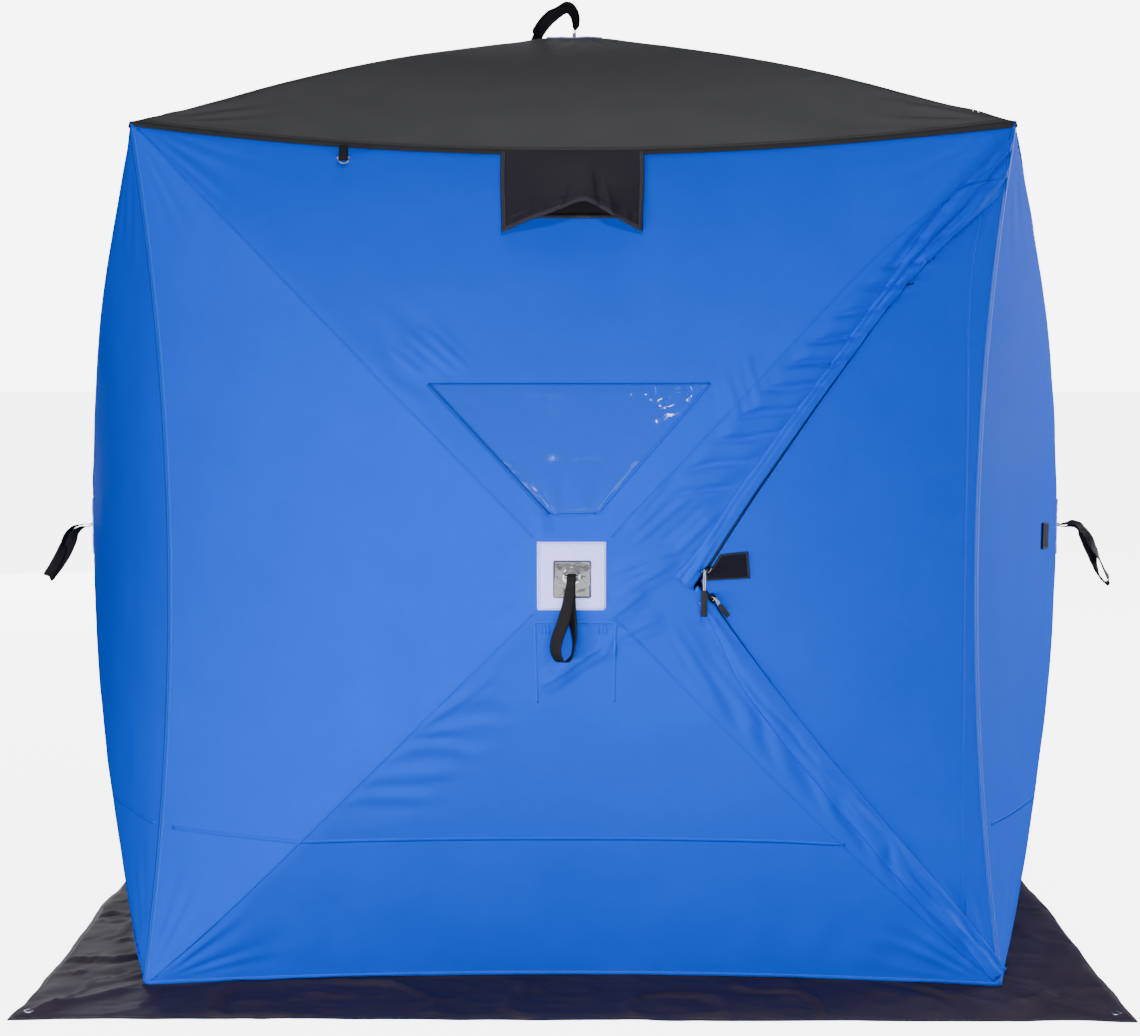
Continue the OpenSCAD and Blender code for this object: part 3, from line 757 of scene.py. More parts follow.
def film_crumple(U, V):
    """Sharp little dents in the upper right corner and at the lower left, where the film is pulled."""
    a = np.exp(-((U - 0.93) / 0.10) ** 2 - ((V - 0.10) / 0.16) ** 2)
    b = np.exp(-((U - 0.10) / 0.07) ** 2 - ((V - 0.86) / 0.12) ** 2)
    c = 0.8 * np.exp(-((V - 0.06) / 0.06) ** 2) * step(U, 0.62, 0.8) * step(U, 1.0, 0.96)
    return (a + 1.3 * b + c) * (1.8 * noise(U * 34, V * 22, 2) + 1.0 * noise(U * 70, V * 46, 3))

def film_wave(U, V, X, Y):
    e = step(U, 0, 0.08) * step(U, 1, 0.92) * step(V, 0, 0.08) * step(V, 1, 0.9)
    return e * (2.2 + 0.5 * np.sin(Y / 26 + 1.3 * noise(X / 90, Y / 60, 2)) + 0.5 * fbm(X / 70, Y / 55, 3) + 1.1 * np.exp(-((Y - 222) / 7.0) ** 2)) + film_crumple(U, V)
pts, faces, X, Y = quad_patch("front", WIN, 90, 50, 1.2, extra=film_wave)
film = make_mesh("window_clear", pts, faces, mats=(FILM,))
fix_out(film, FM["front"][0][:, 2])
hold_face(film)
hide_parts("window_film")

# binding along the window, and its frame of stitching. The top and left edges take a darkened copy of the wall blue,
# painted shade where those edges look dark; the right and bottom edges take the plain wall blue
def sewn(face, name, pts, width, lift, mat, body=None, **kw):
    ob = strip(face, name, pts, width, lift, mat, **kw)
    if body:
        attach(ob, body)
    else:
        hold_face(ob)
    return ob
a, b, c, d = [np.array(p, float) for p in WIN]
for i, (p, q, wd, mt) in enumerate(((a, b, 2.6, BLUE_BIND_SHADED), (b, c, 4.0, BLUE_FLAT), (c, d, 4.0, BLUE_FLAT), (d, a, 6.5, BLUE_BIND_SHADED))):
    sewn("front", f"window_binding_{i}", line(p, q), wd, 2.6, mt, thick=0.9)

# ------------------------------------------------------------------ seams
def diag(k, a0, a1, n=90, side=0.0):
    """Along pole k of a face, from a0 to a1 of its length, shifted sideways by side mm."""
    ang = math.radians(45 + 90 * k)
    u = np.linspace(a0, a1, n)
    v = u
    sx, sy = (1 if math.cos(ang) > 0 else -1), (1 if math.sin(ang) > 0 else -1)
    return sx * v, sy * v

def pole_line(face, k, a0=0.10, a1=0.985, side=0.0):
    wall = face != "roof"
    s, t = diag(k, a0, a1)
    x, y = xy_of(s, t, wall)
    p = np.stack([x, y], -1)
    d = np.gradient(p, axis=0)
    d /= np.hypot(d[:, 0], d[:, 1])[:, None]
    return p + np.stack([-d[:, 1], d[:, 0]], -1) * side

for face in FM:
    mat = ROOF_FLAT if face == "roof" else BLUE_FLAT
    for k in range(4):
        sewn(face, f"{face}_pole_seam_{k}", pole_line(face, k, 0.085), 4.5, 0.05, mat, thick=0.3, seg=9.0)

# hem band along the floor, corner seams and the eaves, each an edge strip inside its own face
for face in ("front", "right", "back", "left"):
    p = edge_pts(face, "bottom", 7)
    sewn(face, f"{face}_hem_band", p, 13.0, 0.4, BLUE_HEM, thick=0.8, seg=8.0)
    for side in ("left", "right"):
        p = edge_pts(face, side, 4.5)
        sewn(face, f"{face}_{side}_corner_seam", p, 8.0, 0.15, BLUE_HEM, thick=0.35, seg=9.0)
    p = edge_pts("roof", {"front": "bottom", "right": "right", "back": "top", "left": "left"}[face], 6)
    sewn("roof", f"roof_{face}_eave_band", p, 11.0, 0.4, ROOF_FLAT, thick=0.7, seg=9.0)

# the roof's edge laps over the top of each wall
for face in ("front", "right", "back", "left"):
    n = 220
    k = np.linspace(-0.995, 0.995, n)
    rows = 5
    side = {"front": "bottom", "right": "right", "back": "top", "left": "left"}[face]
    up = edge_pts(face, "top", 0.0, n)
    P = []
    for r in range(rows):
        f = r / (rows - 1)
        inset = 1.0 + 9.0 * f
        q = edge_pts(face, "top", inset, n)
        w_, _ = surf(face, q[:, 0], q[:, 1], lift=2.2 + 1.2 * f)
        if r == 0:
            e = edge_pts("roof", side, 3.0, n)
            if face in ("back", "left"):
                pass
            w_ = w_.copy()
            w_[:, 2] += 0.0015
        P.append(w_)
    P = np.array(P)
    faces = []
    for r in range(rows - 1):
        for i in range(n - 1):
            q = r * n + i
            faces.append((q, q + n, q + n + 1, q + 1))
    uvs = np.zeros((rows * n, 2))
    L = np.linspace(0, 1.78, n)
    for r in range(rows):
        uvs[r * n:(r + 1) * n, 0] = L
        uvs[r * n:(r + 1) * n, 1] = -0.008 + 0.016 * r / (rows - 1)
    ob = make_mesh(f"eave_lap_{face}", P.reshape(-1, 3), faces, mats=(ROOF_HEM,), uv=uvs)
    fix_out(ob, FM[face][0][:, 2])
    solidify(ob, 0.001, 1.0)
    hold_face(ob)

# the horizontal seam low on each wall
for face in ("front", "right", "back", "left"):
    if face == "front":
        runs = [(-838, 560)]
    else:
        runs = [(-838, 838)]
    for x0, x1 in runs:
        xx = np.linspace(x0, x1, 120)
        yy = -562 + 6 * np.cos(xx / 560.0)
        sewn(face, f"{face}_low_seam_{int(x0)}", np.stack([xx, yy], -1), 8.0, 0.1, BLUE_FLAT, thick=0.2, seg=9.0)

sewn("front", "door_hinge_seam", line((DX, DL[1] - 26), (DX, DU[1] + 16), 130), 8.0, 0.12, BLUE_FLAT, thick=0.3, seg=9.0)

# stitched pocket under the patch
PK = [(-72, -92), (86, -92), (84, -256), (-68, -258)]
for i in range(4):
    p, q = PK[i], PK[(i + 1) % 4]
    if i == 2:
        continue
    sewn("front", f"pocket_stitch_{i}", line(p, q, 30), 4.6, 0.4, BLUE_HEM, thick=0.5, seg=6.0)
for i, x0 in enumerate((-56, 56)):
    for j in range(3):
        sewn("front", f"pocket_bartack_{i}_{j}", line((x0 + 7 * j - 4, -96), (x0 + 7 * j - 2, -116), 8), 2.4, 0.9, BLUE_HEM, thick=0.8, seg=5.0)

# ------------------------------------------------------------------ storm flaps
def flap(name, P, Q, a0, a1, width, side, prof, mat, lift=3.0, across=11, seg=7.0, thick=1.0, over=4.5):
    """A long flap sewn on the wall beside a zip. side is +1 if it lies to the left of the way from P to Q."""
    P, Q = np.array(P, float), np.array(Q, float)
    L = np.hypot(*(Q - P))
    d = (Q - P) / L
    nrm = np.array([-d[1], d[0]]) * side
    n = int(L * (a1 - a0) / seg)
    a = np.linspace(a0, a1, n + 1)
    k = np.linspace(0, 1, across)
    wd = width(a)
    X = P[0] + d[0] * a[:, None] * L + nrm[0] * (k[None, :] * wd[:, None] - over)
    Y = P[1] + d[1] * a[:, None] * L + nrm[1] * (k[None, :] * wd[:, None] - over)
    pts, _ = surf("front", X.ravel(), Y.ravel())
    m, o = FM["front"]
    up = prof(np.repeat(a, across) * L, np.tile(k, n + 1)) + lift
    pts = pts + up[:, None] * m[:, 2][None, :] / 1000.0
    faces = []
    for i in range(n):
        for j in range(across - 1):
            q = i * across + j
            faces.append((q, q + 1, q + 1 + across, q + across))
    uv = np.stack([np.repeat(a, across) * L / 1000, np.tile(k, n + 1) * 0.03 - 0.015], -1)
    ob = make_mesh(name, pts, faces, mats=(mat,), uv=uv)
    fix_out(ob, m[:, 2])
    solidify(ob, thick / 1000, 1.0)
    return hold_face(ob)

def up_width(a):
    return (30 + 3 * np.sin(a * 9) + 14 * step(a, 0.10, -0.02) + 34 * step(a, 0.70, 1.02)) * (1 - 0.8 * step(a, 1.0, 1.11))
def up_prof(u, k):
    body = 6.5 * np.sin(np.pi * np.clip(k, 0, 1) ** 0.8) * (0.8 + 0.3 * noise(u / 160, k * 1.3, 1))
    crease = -2.6 * np.exp(-((k - 0.62 - 0.06 * noise(u / 90, u * 0, 2)) / 0.07) ** 2)
    rip = 1.0 * noise(u / 34, k * 2.4, 3) * np.sin(np.pi * k)
    end = step(u / 936.0, 0.66, 0.84)
    rip = rip + end * 4.2 * np.sin(k * 15.0 + u / 75.0 + 1.6 * noise(u / 120, k * 1.2, 4)) * np.sin(np.pi * np.clip(k, 0, 1)) ** 0.6
    rip = rip + (1 - step(u, 40, 190)) * 3.6 * np.sin(k * 8.0 - u / 24.0 + 1.2 * noise(u / 50, k, 3)) * np.sin(np.pi * np.clip(k, 0, 1))
    free = 3.0 * (1 - step(k, 0, 0.25)) * (0.8 + 0.3 * noise(u / 70, k * 0, 4))
    return (body + crease + rip + free) * (1 - step(u, 940, 1035)) - 2.6 * step(k, 0.9, 1.0) * (1 - step(u, 940, 1035)) - 2.4 * step(u, 940, 1035)
upper = flap("upper_storm_flap", DV + np.array([-18, -12]), DU, 0.0, 1.11, up_width, +1, up_prof, BLUE)

def lo_width(a):
    return 26 + 28 * step(a, 0.03, 0.25) - 16 * step(a, 0.85, 1.05)
def lo_prof(u, k):
    tube = 8.5 * np.sin(np.pi * np.clip(k, 0, 1)) * (0.75 + 0.35 * noise(u / 110, k, 2))
    w1 = 4.4 * np.sin(k * 9.5 + u / 62.0 + 2.2 * noise(u / 85, k * 0.8, 3)) * np.sin(np.pi * k)
    w2 = 1.6 * noise(u / 26, k * 3.0, 4) * np.sin(np.pi * k)
    return tube + w1 + w2 + 1.8 * (1 - step(k, 0, 0.2)) - 2.6 * step(k, 0.9, 1.0)
lower = flap("lower_storm_flap", DV + np.array([8, -34]), DL, 0.0, 1.15, lo_width, -1, lo_prof, BLUE, across=15, over=15.0)

# ------------------------------------------------------------------ zips
tape_objs = []
def zip_run(name, P, Q, a0, a1):
    P, Q = np.array(P, float), np.array(Q, float)
    L = np.hypot(*(Q - P))
    p = P + (Q - P) * a0
    q = P + (Q - P) * a1
    t = strip("front", f"{name}_tape", line(p, q, 120), 25.0, -3.4, TAPE, thick=1.2, seg=9.0, across=5, wr=True)
    # the coil: two rows of small loops
    d = (Q - P) / L
    nrm = np.array([-d[1], d[0]])
    step_mm = 3.0
    cnt = int(L * (a1 - a0) / step_mm)
    verts, faces = [], []
    a = np.linspace(a0, a1, cnt) * L
    cx, cy = P[0] + d[0] * a, P[1] + d[1] * a
    pts, _ = surf("front", cx, cy, lift=-0.8)
    m = FM["front"][0]
    outw = m[:, 2]
    side = m @ np.array([nrm[0], nrm[1], 0])
    alongw = np.gradient(pts, axis=0)
    alongw /= np.linalg.norm(alongw, axis=1)[:, None]
    for i in range(cnt):
        for sgn in (-1, 1):
            c0 = pts[i] + side * sgn * 0.0013 + alongw[i] * (0.0007 * sgn)
            e = len(verts)
            for dx, dy, dz in ((-1, -1, 0), (1, -1, 0), (1, 1, 0), (-1, 1, 0), (-0.7, -0.7, 1), (0.7, -0.7, 1), (0.7, 0.7, 1), (-0.7, 0.7, 1)):
                verts.append(c0 + side * dx * 0.0017 + alongw[i] * dy * 0.0009 + outw * dz * 0.0017)
            faces += [(e, e + 1, e + 5, e + 4), (e + 1, e + 2, e + 6, e + 5), (e + 2, e + 3, e + 7, e + 6), (e + 3, e, e + 4, e + 7), (e + 4, e + 5, e + 6, e + 7), (e + 3, e + 2, e + 1, e)]
    coil = make_mesh(f"{name}_coil", verts, faces, smooth=False, mats=(COIL,))
    return t, coil
ut, uc = zip_run("zip_upper", DV, DU, 0.015, 0.985)
lt, lc = zip_run("zip_lower", DV, DL, 0.015, 0.985)
for o in (ut, uc, lt, lc):
    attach(o, "door_frame")
ut.name = "zip_tape_mesh"
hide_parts("zip_tapes")

# ------------------------------------------------------------------ generic shapes
def join(obs, name):
    obs = [o for o in obs if o is not None]
    ctx = bpy.context
    for o in ctx.view_layer.objects:
        o.select_set(False)
    for o in obs:
        o.select_set(True)
    ctx.view_layer.objects.active = obs[0]
    bpy.ops.object.join()
    obs[0].name = name
    return obs[0]

def rounded_box(name, size, bevel, mat, seg=3, cuts=0):
    bm = bmesh.new()
    bmesh.ops.create_cube(bm, size=1.0)
    for v in bm.verts:
        v.co = Vector((v.co.x * size[0], v.co.y * size[1], v.co.z * size[2]))
    bmesh.ops.bevel(bm, geom=bm.edges[:], offset=bevel, segments=seg, profile=0.5, affect="EDGES")
    me = bpy.data.meshes.new(name)
    bm.to_mesh(me); bm.free()
    me.polygons.foreach_set("use_smooth", [True] * len(me.polygons))
    me.materials.append(mat)
    ob = bpy.data.objects.new(name, me)
    bpy.context.scene.collection.objects.link(ob)
    return ob

def tube(name, pts, r, mat, seg=10, closed=False, res=6):
    """A round rod through points (metres), as a mesh."""
    P = np.array(pts, float)
    if closed:
        P = np.vstack([P[-2:], P, P[:3]])
    # Catmull-Rom
    Q = []
    rr = r if hasattr(r, "__len__") else [r] * len(P)
    R = []
    for i in range(len(P) - 1):
        p0, p1, p2, p3 = P[max(i - 1, 0)], P[i], P[i + 1], P[min(i + 2, len(P) - 1)]
        for t in np.linspace(0, 1, res, endpoint=False):
            Q.append(0.5 * (2 * p1 + (p2 - p0) * t + (2 * p0 - 5 * p1 + 4 * p2 - p3) * t * t + (3 * p1 - p0 - 3 * p2 + p3) * t ** 3))
            R.append(rr[min(i, len(rr) - 1)] * (1 - t) + rr[min(i + 1, len(rr) - 1)] * t)
    Q.append(P[-1]); R.append(rr[-1])
    Q = np.array(Q); R = np.array(R)
    if closed:
        Q, R = Q[2 * res:-2 * res], R[2 * res:-2 * res]
    T = np.gradient(Q, axis=0)
    T /= np.maximum(np.linalg.norm(T, axis=1), 1e-9)[:, None]
    ref = np.array([0.31, 0.17, 0.93])
    N = np.cross(T[0], ref); N /= np.linalg.norm(N)
    verts = []
    for i in range(len(Q)):
        N = N - T[i] * (N @ T[i]); N /= np.linalg.norm(N)
        B = np.cross(T[i], N)
        for k in range(seg):
            a = 2 * math.pi * k / seg
            verts.append(Q[i] + (N * math.cos(a) + B * math.sin(a)) * R[i])
    faces = []
    for i in range(len(Q) - 1):
        for k in range(seg):
            a, b = i * seg + k, i * seg + (k + 1) % seg
            faces.append((a, b, b + seg, a + seg))
    faces.append(tuple(range(seg))[::-1])
    faces.append(tuple(range((len(Q) - 1) * seg, len(Q) * seg)))
    L = np.r_[0, np.cumsum(np.linalg.norm(np.diff(Q, axis=0), axis=1))]
    uv = np.stack([np.repeat(L, seg), np.tile(np.linspace(0, 2 * math.pi * R.mean(), seg), len(Q))], -1)
    return make_mesh(name, verts, faces, mats=(mat,), uv=uv)

def webbing(name, pts, widths, width, mat, thick=0.0016, res=8, across=5, curl=0.0):
    """A band through pts with the side direction widths at each, in metres."""
    P = np.array(pts, float); W = np.array(widths, float)
    W /= np.linalg.norm(W, axis=1)[:, None]
    Q, V, ww = [], [], []
    wd = width if hasattr(width, "__len__") else [width] * len(P)
    for i in range(len(P) - 1):
        p0, p1, p2, p3 = P[max(i - 1, 0)], P[i], P[i + 1], P[min(i + 2, len(P) - 1)]
        for t in np.linspace(0, 1, res, endpoint=False):
            Q.append(0.5 * (2 * p1 + (p2 - p0) * t + (2 * p0 - 5 * p1 + 4 * p2 - p3) * t * t + (3 * p1 - p0 - 3 * p2 + p3) * t ** 3))
            e = t * t * (3 - 2 * t)
            V.append(W[i] * (1 - e) + W[i + 1] * e)
            ww.append(wd[i] * (1 - e) + wd[i + 1] * e)
    Q.append(P[-1]); V.append(W[-1]); ww.append(wd[-1])
    Q, V = np.array(Q), np.array(V)
    T = np.gradient(Q, axis=0)
    T /= np.maximum(np.linalg.norm(T, axis=1), 1e-9)[:, None]
    V = V - T * (V * T).sum(1)[:, None]
    V /= np.maximum(np.linalg.norm(V, axis=1), 1e-9)[:, None]
    N = np.cross(T, V)
    k = np.linspace(-0.5, 0.5, across)
    L = np.r_[0, np.cumsum(np.linalg.norm(np.diff(Q, axis=0), axis=1))]
    verts, uv = [], []
    for i in range(len(Q)):
        for c in k:
            verts.append(Q[i] + V[i] * c * ww[i] + N[i] * curl * (1 - 4 * c * c))
            uv.append((L[i], c * width if not hasattr(width, "__len__") else c * ww[i]))
    faces = []
    for i in range(len(Q) - 1):
        for j in range(across - 1):
            a = i * across + j
            faces.append((a, a + 1, a + 1 + across, a + across))
    ob = make_mesh(name, verts, faces, mats=(mat,), uv=np.array(uv))
    solidify(ob, thick, 0.0)
    return ob

def loc(face, p):
    return to_world(face, np.array(p, float))
def vec(face, v):
    return np.array(v, float) @ FM[face][0].T

# ------------------------------------------------------------------ patches
def patch(face):
    half = 67.0
    n = 40
    k = np.linspace(-half, half, n + 1)
    X, Y = np.meshgrid(k, k)
    X, Y = X.ravel(), Y.ravel()
    off = {"front": 0, "right": 9, "back": 21, "left": 33, "roof": 47}[face]
    r = np.hypot(X, Y)
    ang = np.arctan2(Y, X)
    z = 270.2 + 0.9 * fbm(X / 34 + off, Y / 34, 1)
    z = z + 0.9 * np.sin(ang * 9 + off) * np.exp(-((r - 42) / 16.0) ** 2)
    z = z - 2.4 * step(np.maximum(abs(X), abs(Y)), 52, 67) ** 2
    wob = 1.5 * noise(X / 40 + off, Y / 40 + 3, 2)
    pts = to_world(face, np.stack([X * (1 + 0.004 * noise(Y / 30, Y * 0 + off, 3)) + wob * 0.4, Y + wob * 0.5, z], -1))
    faces = []
    w = n + 1
    for j in range(n):
        for i in range(n):
            cx, cy = (k[i] + k[i + 1]) / 2, (k[j] + k[j + 1]) / 2
            if abs(cx) < 35 and abs(cy - -6) < 35 and face != "roof_":
                pass
            q = j * w + i
            faces.append((q, q + 1, q + 1 + w, q + w))
    ob = make_mesh(f"patch_{face}_cloth", pts, faces, mats=(PATCH,))
    fix_out(ob, FM[face][0][:, 2])
    solidify(ob, 0.0016, -1.0)
    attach(ob, f"{face}_hub")
    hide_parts(f"patch_{face}")
    # bound edge with a row of stitches down its middle, and the clear square sewn in the middle
    def flat_strip(nm, P, wd, z0, mat, th=0.0008):
        P = np.array(P, float)
        d = np.r_[0, np.cumsum(np.hypot(*np.diff(P, axis=0).T))]
        m = max(3, int(d[-1] / 6))
        u = np.linspace(0, d[-1], m + 1)
        cx, cy = np.interp(u, d, P[:, 0]), np.interp(u, d, P[:, 1])
        tx, ty = np.gradient(cx), np.gradient(cy); L = np.hypot(tx, ty)
        V, F, UV = [], [], []
        for i in range(m + 1):
            for c in (-0.5, 0, 0.5):
                x_, y_ = cx[i] - ty[i] / L[i] * c * wd, cy[i] + tx[i] / L[i] * c * wd
                zz = z0 + 0.9 * fbm(x_ / 34 + off, y_ / 34, 1) - 2.4 * step(max(abs(x_), abs(y_)), 52, 67) ** 2 + (0.5 if c == 0 else 0)
                V.append(loc(face, (x_, y_, zz))); UV.append((u[i] / 1000, c * wd / 1000))
        for i in range(m):
            for j in range(2):
                q = i * 3 + j
                F.append((q, q + 1, q + 4, q + 3))
        o = make_mesh(nm, V, F, mats=(mat,), uv=np.array(UV))
        fix_out(o, FM[face][0][:, 2])
        solidify(o, th, 1.0)
        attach(o, f"{face}_hub")
        return o
    h = half - 3.2
    C = [(-h, -h), (h, -h), (h, h), (-h, h), (-h, -h)]
    for i in range(4):
        flat_strip(f"patch_{face}_bound_{i}", line(C[i], C[i + 1], 20), 6.4, 270.4, PATCH_HEM)
    c0, h = (1.0, -6.0), 35.0
    S = [(c0[0] - h, c0[1] - h), (c0[0] + h, c0[1] - h), (c0[0] + h, c0[1] + h), (c0[0] - h, c0[1] + h), (c0[0] - h, c0[1] - h)]
    for i in range(4):
        flat_strip(f"patch_{face}_inner_{i}", line(S[i], S[i + 1], 12), 3.0, 271.4, PATCH_INNER_HEM)
    # clear square
    m = 24
    kk = np.linspace(-1, 1, m + 1)
    A, B = np.meshgrid(kk, kk)
    A, B = A.ravel(), B.ravel()
    zz = 272.0 + 1.4 * np.exp(-((A * 35) ** 2 + (B * 35 - 6) ** 2) / 300.0) + 0.7 * fbm(A * 2.4 + off, B * 2.4, 2) * (1 - np.maximum(abs(A), abs(B)) ** 4)
    pts = to_world(face, np.stack([c0[0] + A * h, c0[1] + B * h, zz], -1))
    F = []
    for j in range(m):
        for i in range(m):
            q = j * (m + 1) + i
            F.append((q, q + 1, q + m + 2, q + m + 1))
    o = make_mesh(f"patch_{face}_clear", pts, F, mats=(PATCH_FILM,))
    fix_out(o, FM[face][0][:, 2])
    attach(o, f"{face}_hub")

PATCH_INNER_HEM = ribbon_mat("grey_tape", lin((86, 86, 104)), lin((120, 120, 140)), rough=0.6, edge_stitch=0.0, thread=lin((60, 60, 74)), rib=0.0012)
def patch_film():
    m = Mat("patch_film")
    v = m.coord(1.0)
    nz = m.noise(v, 60.0, 4.0, 0.6)
    m.link(m.ramp(nz, [(0.3, (0.014, 0.014, 0.022, 1)), (0.55, (0.045, 0.045, 0.062, 1)), (0.75, (0.13, 0.13, 0.17, 1))]), m.b.inputs["Base Color"])
    m.link(m.math("ADD", m.math("MULTIPLY", nz, 0.2), 0.1), m.b.inputs["Roughness"])
    m.link(m.bump(nz, 0.7, 0.002), m.b.inputs["Normal"])
    m.b.inputs["Coat Weight"].default_value = 0.35
    m.b.inputs["Coat Roughness"].default_value = 0.05
    return m.m
PATCH_FILM = patch_film()
for face in FM:
    patch(face)

# ------------------------------------------------------------------ straps
def strap_pts(face, pts, widths, width, name):
    P = [loc(face, p) for p in pts]
    W = [vec(face, w) for w in widths]
    ob = webbing(name, P, W, [w / 1000 for w in width] if hasattr(width, "__len__") else width / 1000, WEB)
    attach(ob, f"{face}_strap")
    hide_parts(f"strap_{face}")
    return ob

for face in ("front", "back"):
    pts = [(0, 4, 281), (0, -2, 286.5), (-1, -12, 288), (-6, -48, 289), (-16, -88, 289), (-27, -118, 287), (-31, -142, 284), (-26, -160, 281),
           (-14, -168, 277), (-1, -160, 274), (5, -138, 272), (5, -112, 273), (1, -84, 275), (-2, -50, 278), (-1, -14, 279), (0, -2, 275.5), (0, 4, 278)]
    wid = [(1, 0, 0), (1, 0, 0), (1, 0, 0), (1, -0.15, 0), (1, -0.3, 0.1), (0.95, -0.25, 0.25), (0.9, 0, 0.45), (0.8, 0.3, 0.6),
           (0.3, 0.1, 1), (0.1, -0.2, 1), (0.25, 0, 1), (0.5, 0, 0.9), (0.8, 0, 0.6), (1, 0, 0.2), (1, 0, 0), (1, 0, 0), (1, 0, 0)]
    wd = [17, 17, 18, 22, 24, 24, 24, 22, 20, 20, 20, 21, 22, 21, 18, 17, 17]
    strap_pts(face, pts, wid, wd, f"strap_{face}_web")
for face, sg in (("left", 1), ("right", -1)):
    pts = [(0, 3, 281), (0, -1, 287), (0, -2, 306), (2 * sg, -8, 328), (3 * sg, -24, 344), (4 * sg, -44, 352), (4 * sg, -66, 358), (3 * sg, -90, 370), (2 * sg, -112, 383), (0, -127, 393),
           (-5 * sg, -131, 391), (-5 * sg, -120, 382), (-5 * sg, -96, 364), (-5 * sg, -70, 348), (-4 * sg, -44, 336), (-2 * sg, -22, 326), (0, -9, 308), (0, -7, 290), (0, -2, 276), (0, 3, 278)]
    wid = [(1, 0, 0), (1, 0, 0), (1, 0.1, 0), (1, 0.2, 0.2), (1, 0.1, 0.3), (1, 0.1, 0.4), (0.6, 0.5, 0.8), (0.25, 0.55, 0.8), (0.15, 0.6, 0.75), (0.15, 0.6, 0.75),
           (0.15, 0.6, 0.75), (0.1, 0.6, 0.75), (0.1, 0.55, 0.8), (0.1, 0.5, 0.85), (0.3, 0.4, 0.8), (0.8, 0.3, 0.5), (1, 0.2, 0.2), (1, 0, 0), (1, 0, 0), (1, 0, 0)]
    wid = [(a * 1.0, b * 1.0, c * 1.0) for a, b, c in wid]
    if face == "right":
        # this one hangs the other way about: narrow at the top, its loop open at the end
        pts = [(0, 3, 281), (0, -1, 287), (0, 2, 306), (0, 4, 322), (0, -6, 338), (0, -26, 347), (0, -52, 358), (0, -80, 370), (0, -106, 378), (0, -128, 388), (0, -141, 399),
               (0, -146, 407), (0, -134, 410), (0, -112, 399), (0, -88, 388), (0, -62, 374), (0, -36, 360), (0, -14, 344), (0, -4, 320), (0, -6, 300), (0, -2, 276), (0, 3, 278)]
        wid = [(1, 0, 0), (1, 0, 0), (1, 0.2, 0), (0.8, 0.5, 0), (0.6, 0.5, 0.5), (0.3, 0.5, 0.8), (0.3, 0.4, 0.9), (0.5, 0.3, 0.8), (0.8, 0.2, 0.5), (1, 0.2, 0.2), (1, 0, 0.3),
               (0.9, 0.3, 0), (0.8, 0.5, 0.2), (1, 0.3, 0.2), (1, 0.2, 0.2), (0.7, 0.3, 0.6), (0.4, 0.4, 0.8), (0.6, 0.5, 0.5), (1, 0.2, 0), (1, 0, 0), (1, 0, 0), (1, 0, 0)]
    wd = [20] + [20, 19, 20] + [25] * (len(pts) - 7) + [19, 19, 20]
    strap_pts(face, pts, wid, wd, f"strap_{face}_web")

# the roof's strap stands up in an arch and comes down beside the hub
def roof_strap():
    face = "roof"
    pts = [(0, 0, 281), (3, 0, 290), (6, 0, 306), (5, 1, 322), (0, 2, 336), (-8, 3, 347), (-18, 3, 352), (-29, 2, 347), (-42, 0, 337), (-58, -3, 328), (-74, -6, 312), (-88, -8, 292), (-97, -9, 275), (-101, -10, 263),
           (-99, -12, 258), (-93, -14, 266), (-84, -15, 284), (-70, -13, 304), (-54, -9, 320), (-38, -6, 332), (-26, -4, 338), (-16, -4, 340), (-7, -3, 332), (-1, -2, 320), (1, -1, 304), (0, 0, 290), (0, 0, 279)]
    wid = []
    for i, p in enumerate(pts):
        q0, q1 = np.array(pts[max(i - 1, 0)], float), np.array(pts[min(i + 1, len(pts) - 1)], float)
        tan = (q1 - q0) / max(np.linalg.norm(q1 - q0), 1e-6)
        flat_ = np.cross(tan, (0, 1, 0))
        if i > 13:
            flat_ = -flat_
        if i in (12, 13, 14):
            wid.append((0.35, 0.7, 0.6) if i < 14 else (0.35, 0.8, 0.4))
        elif i < 2 or i > 24:
            wid.append((0.0, 1.0, 0.0))
        else:
            wid.append(tuple(0.86 * flat_ + np.array([0, 0.42, 0])))
    wd = [13, 12, 14, 18, 21, 22, 20, 19, 22, 25, 25, 25, 25, 24, 23, 24, 25, 25, 24, 22, 18, 17, 16, 15, 13, 12, 12]
    strap_pts(face, pts, wid, wd, "strap_roof_web")
roof_strap()

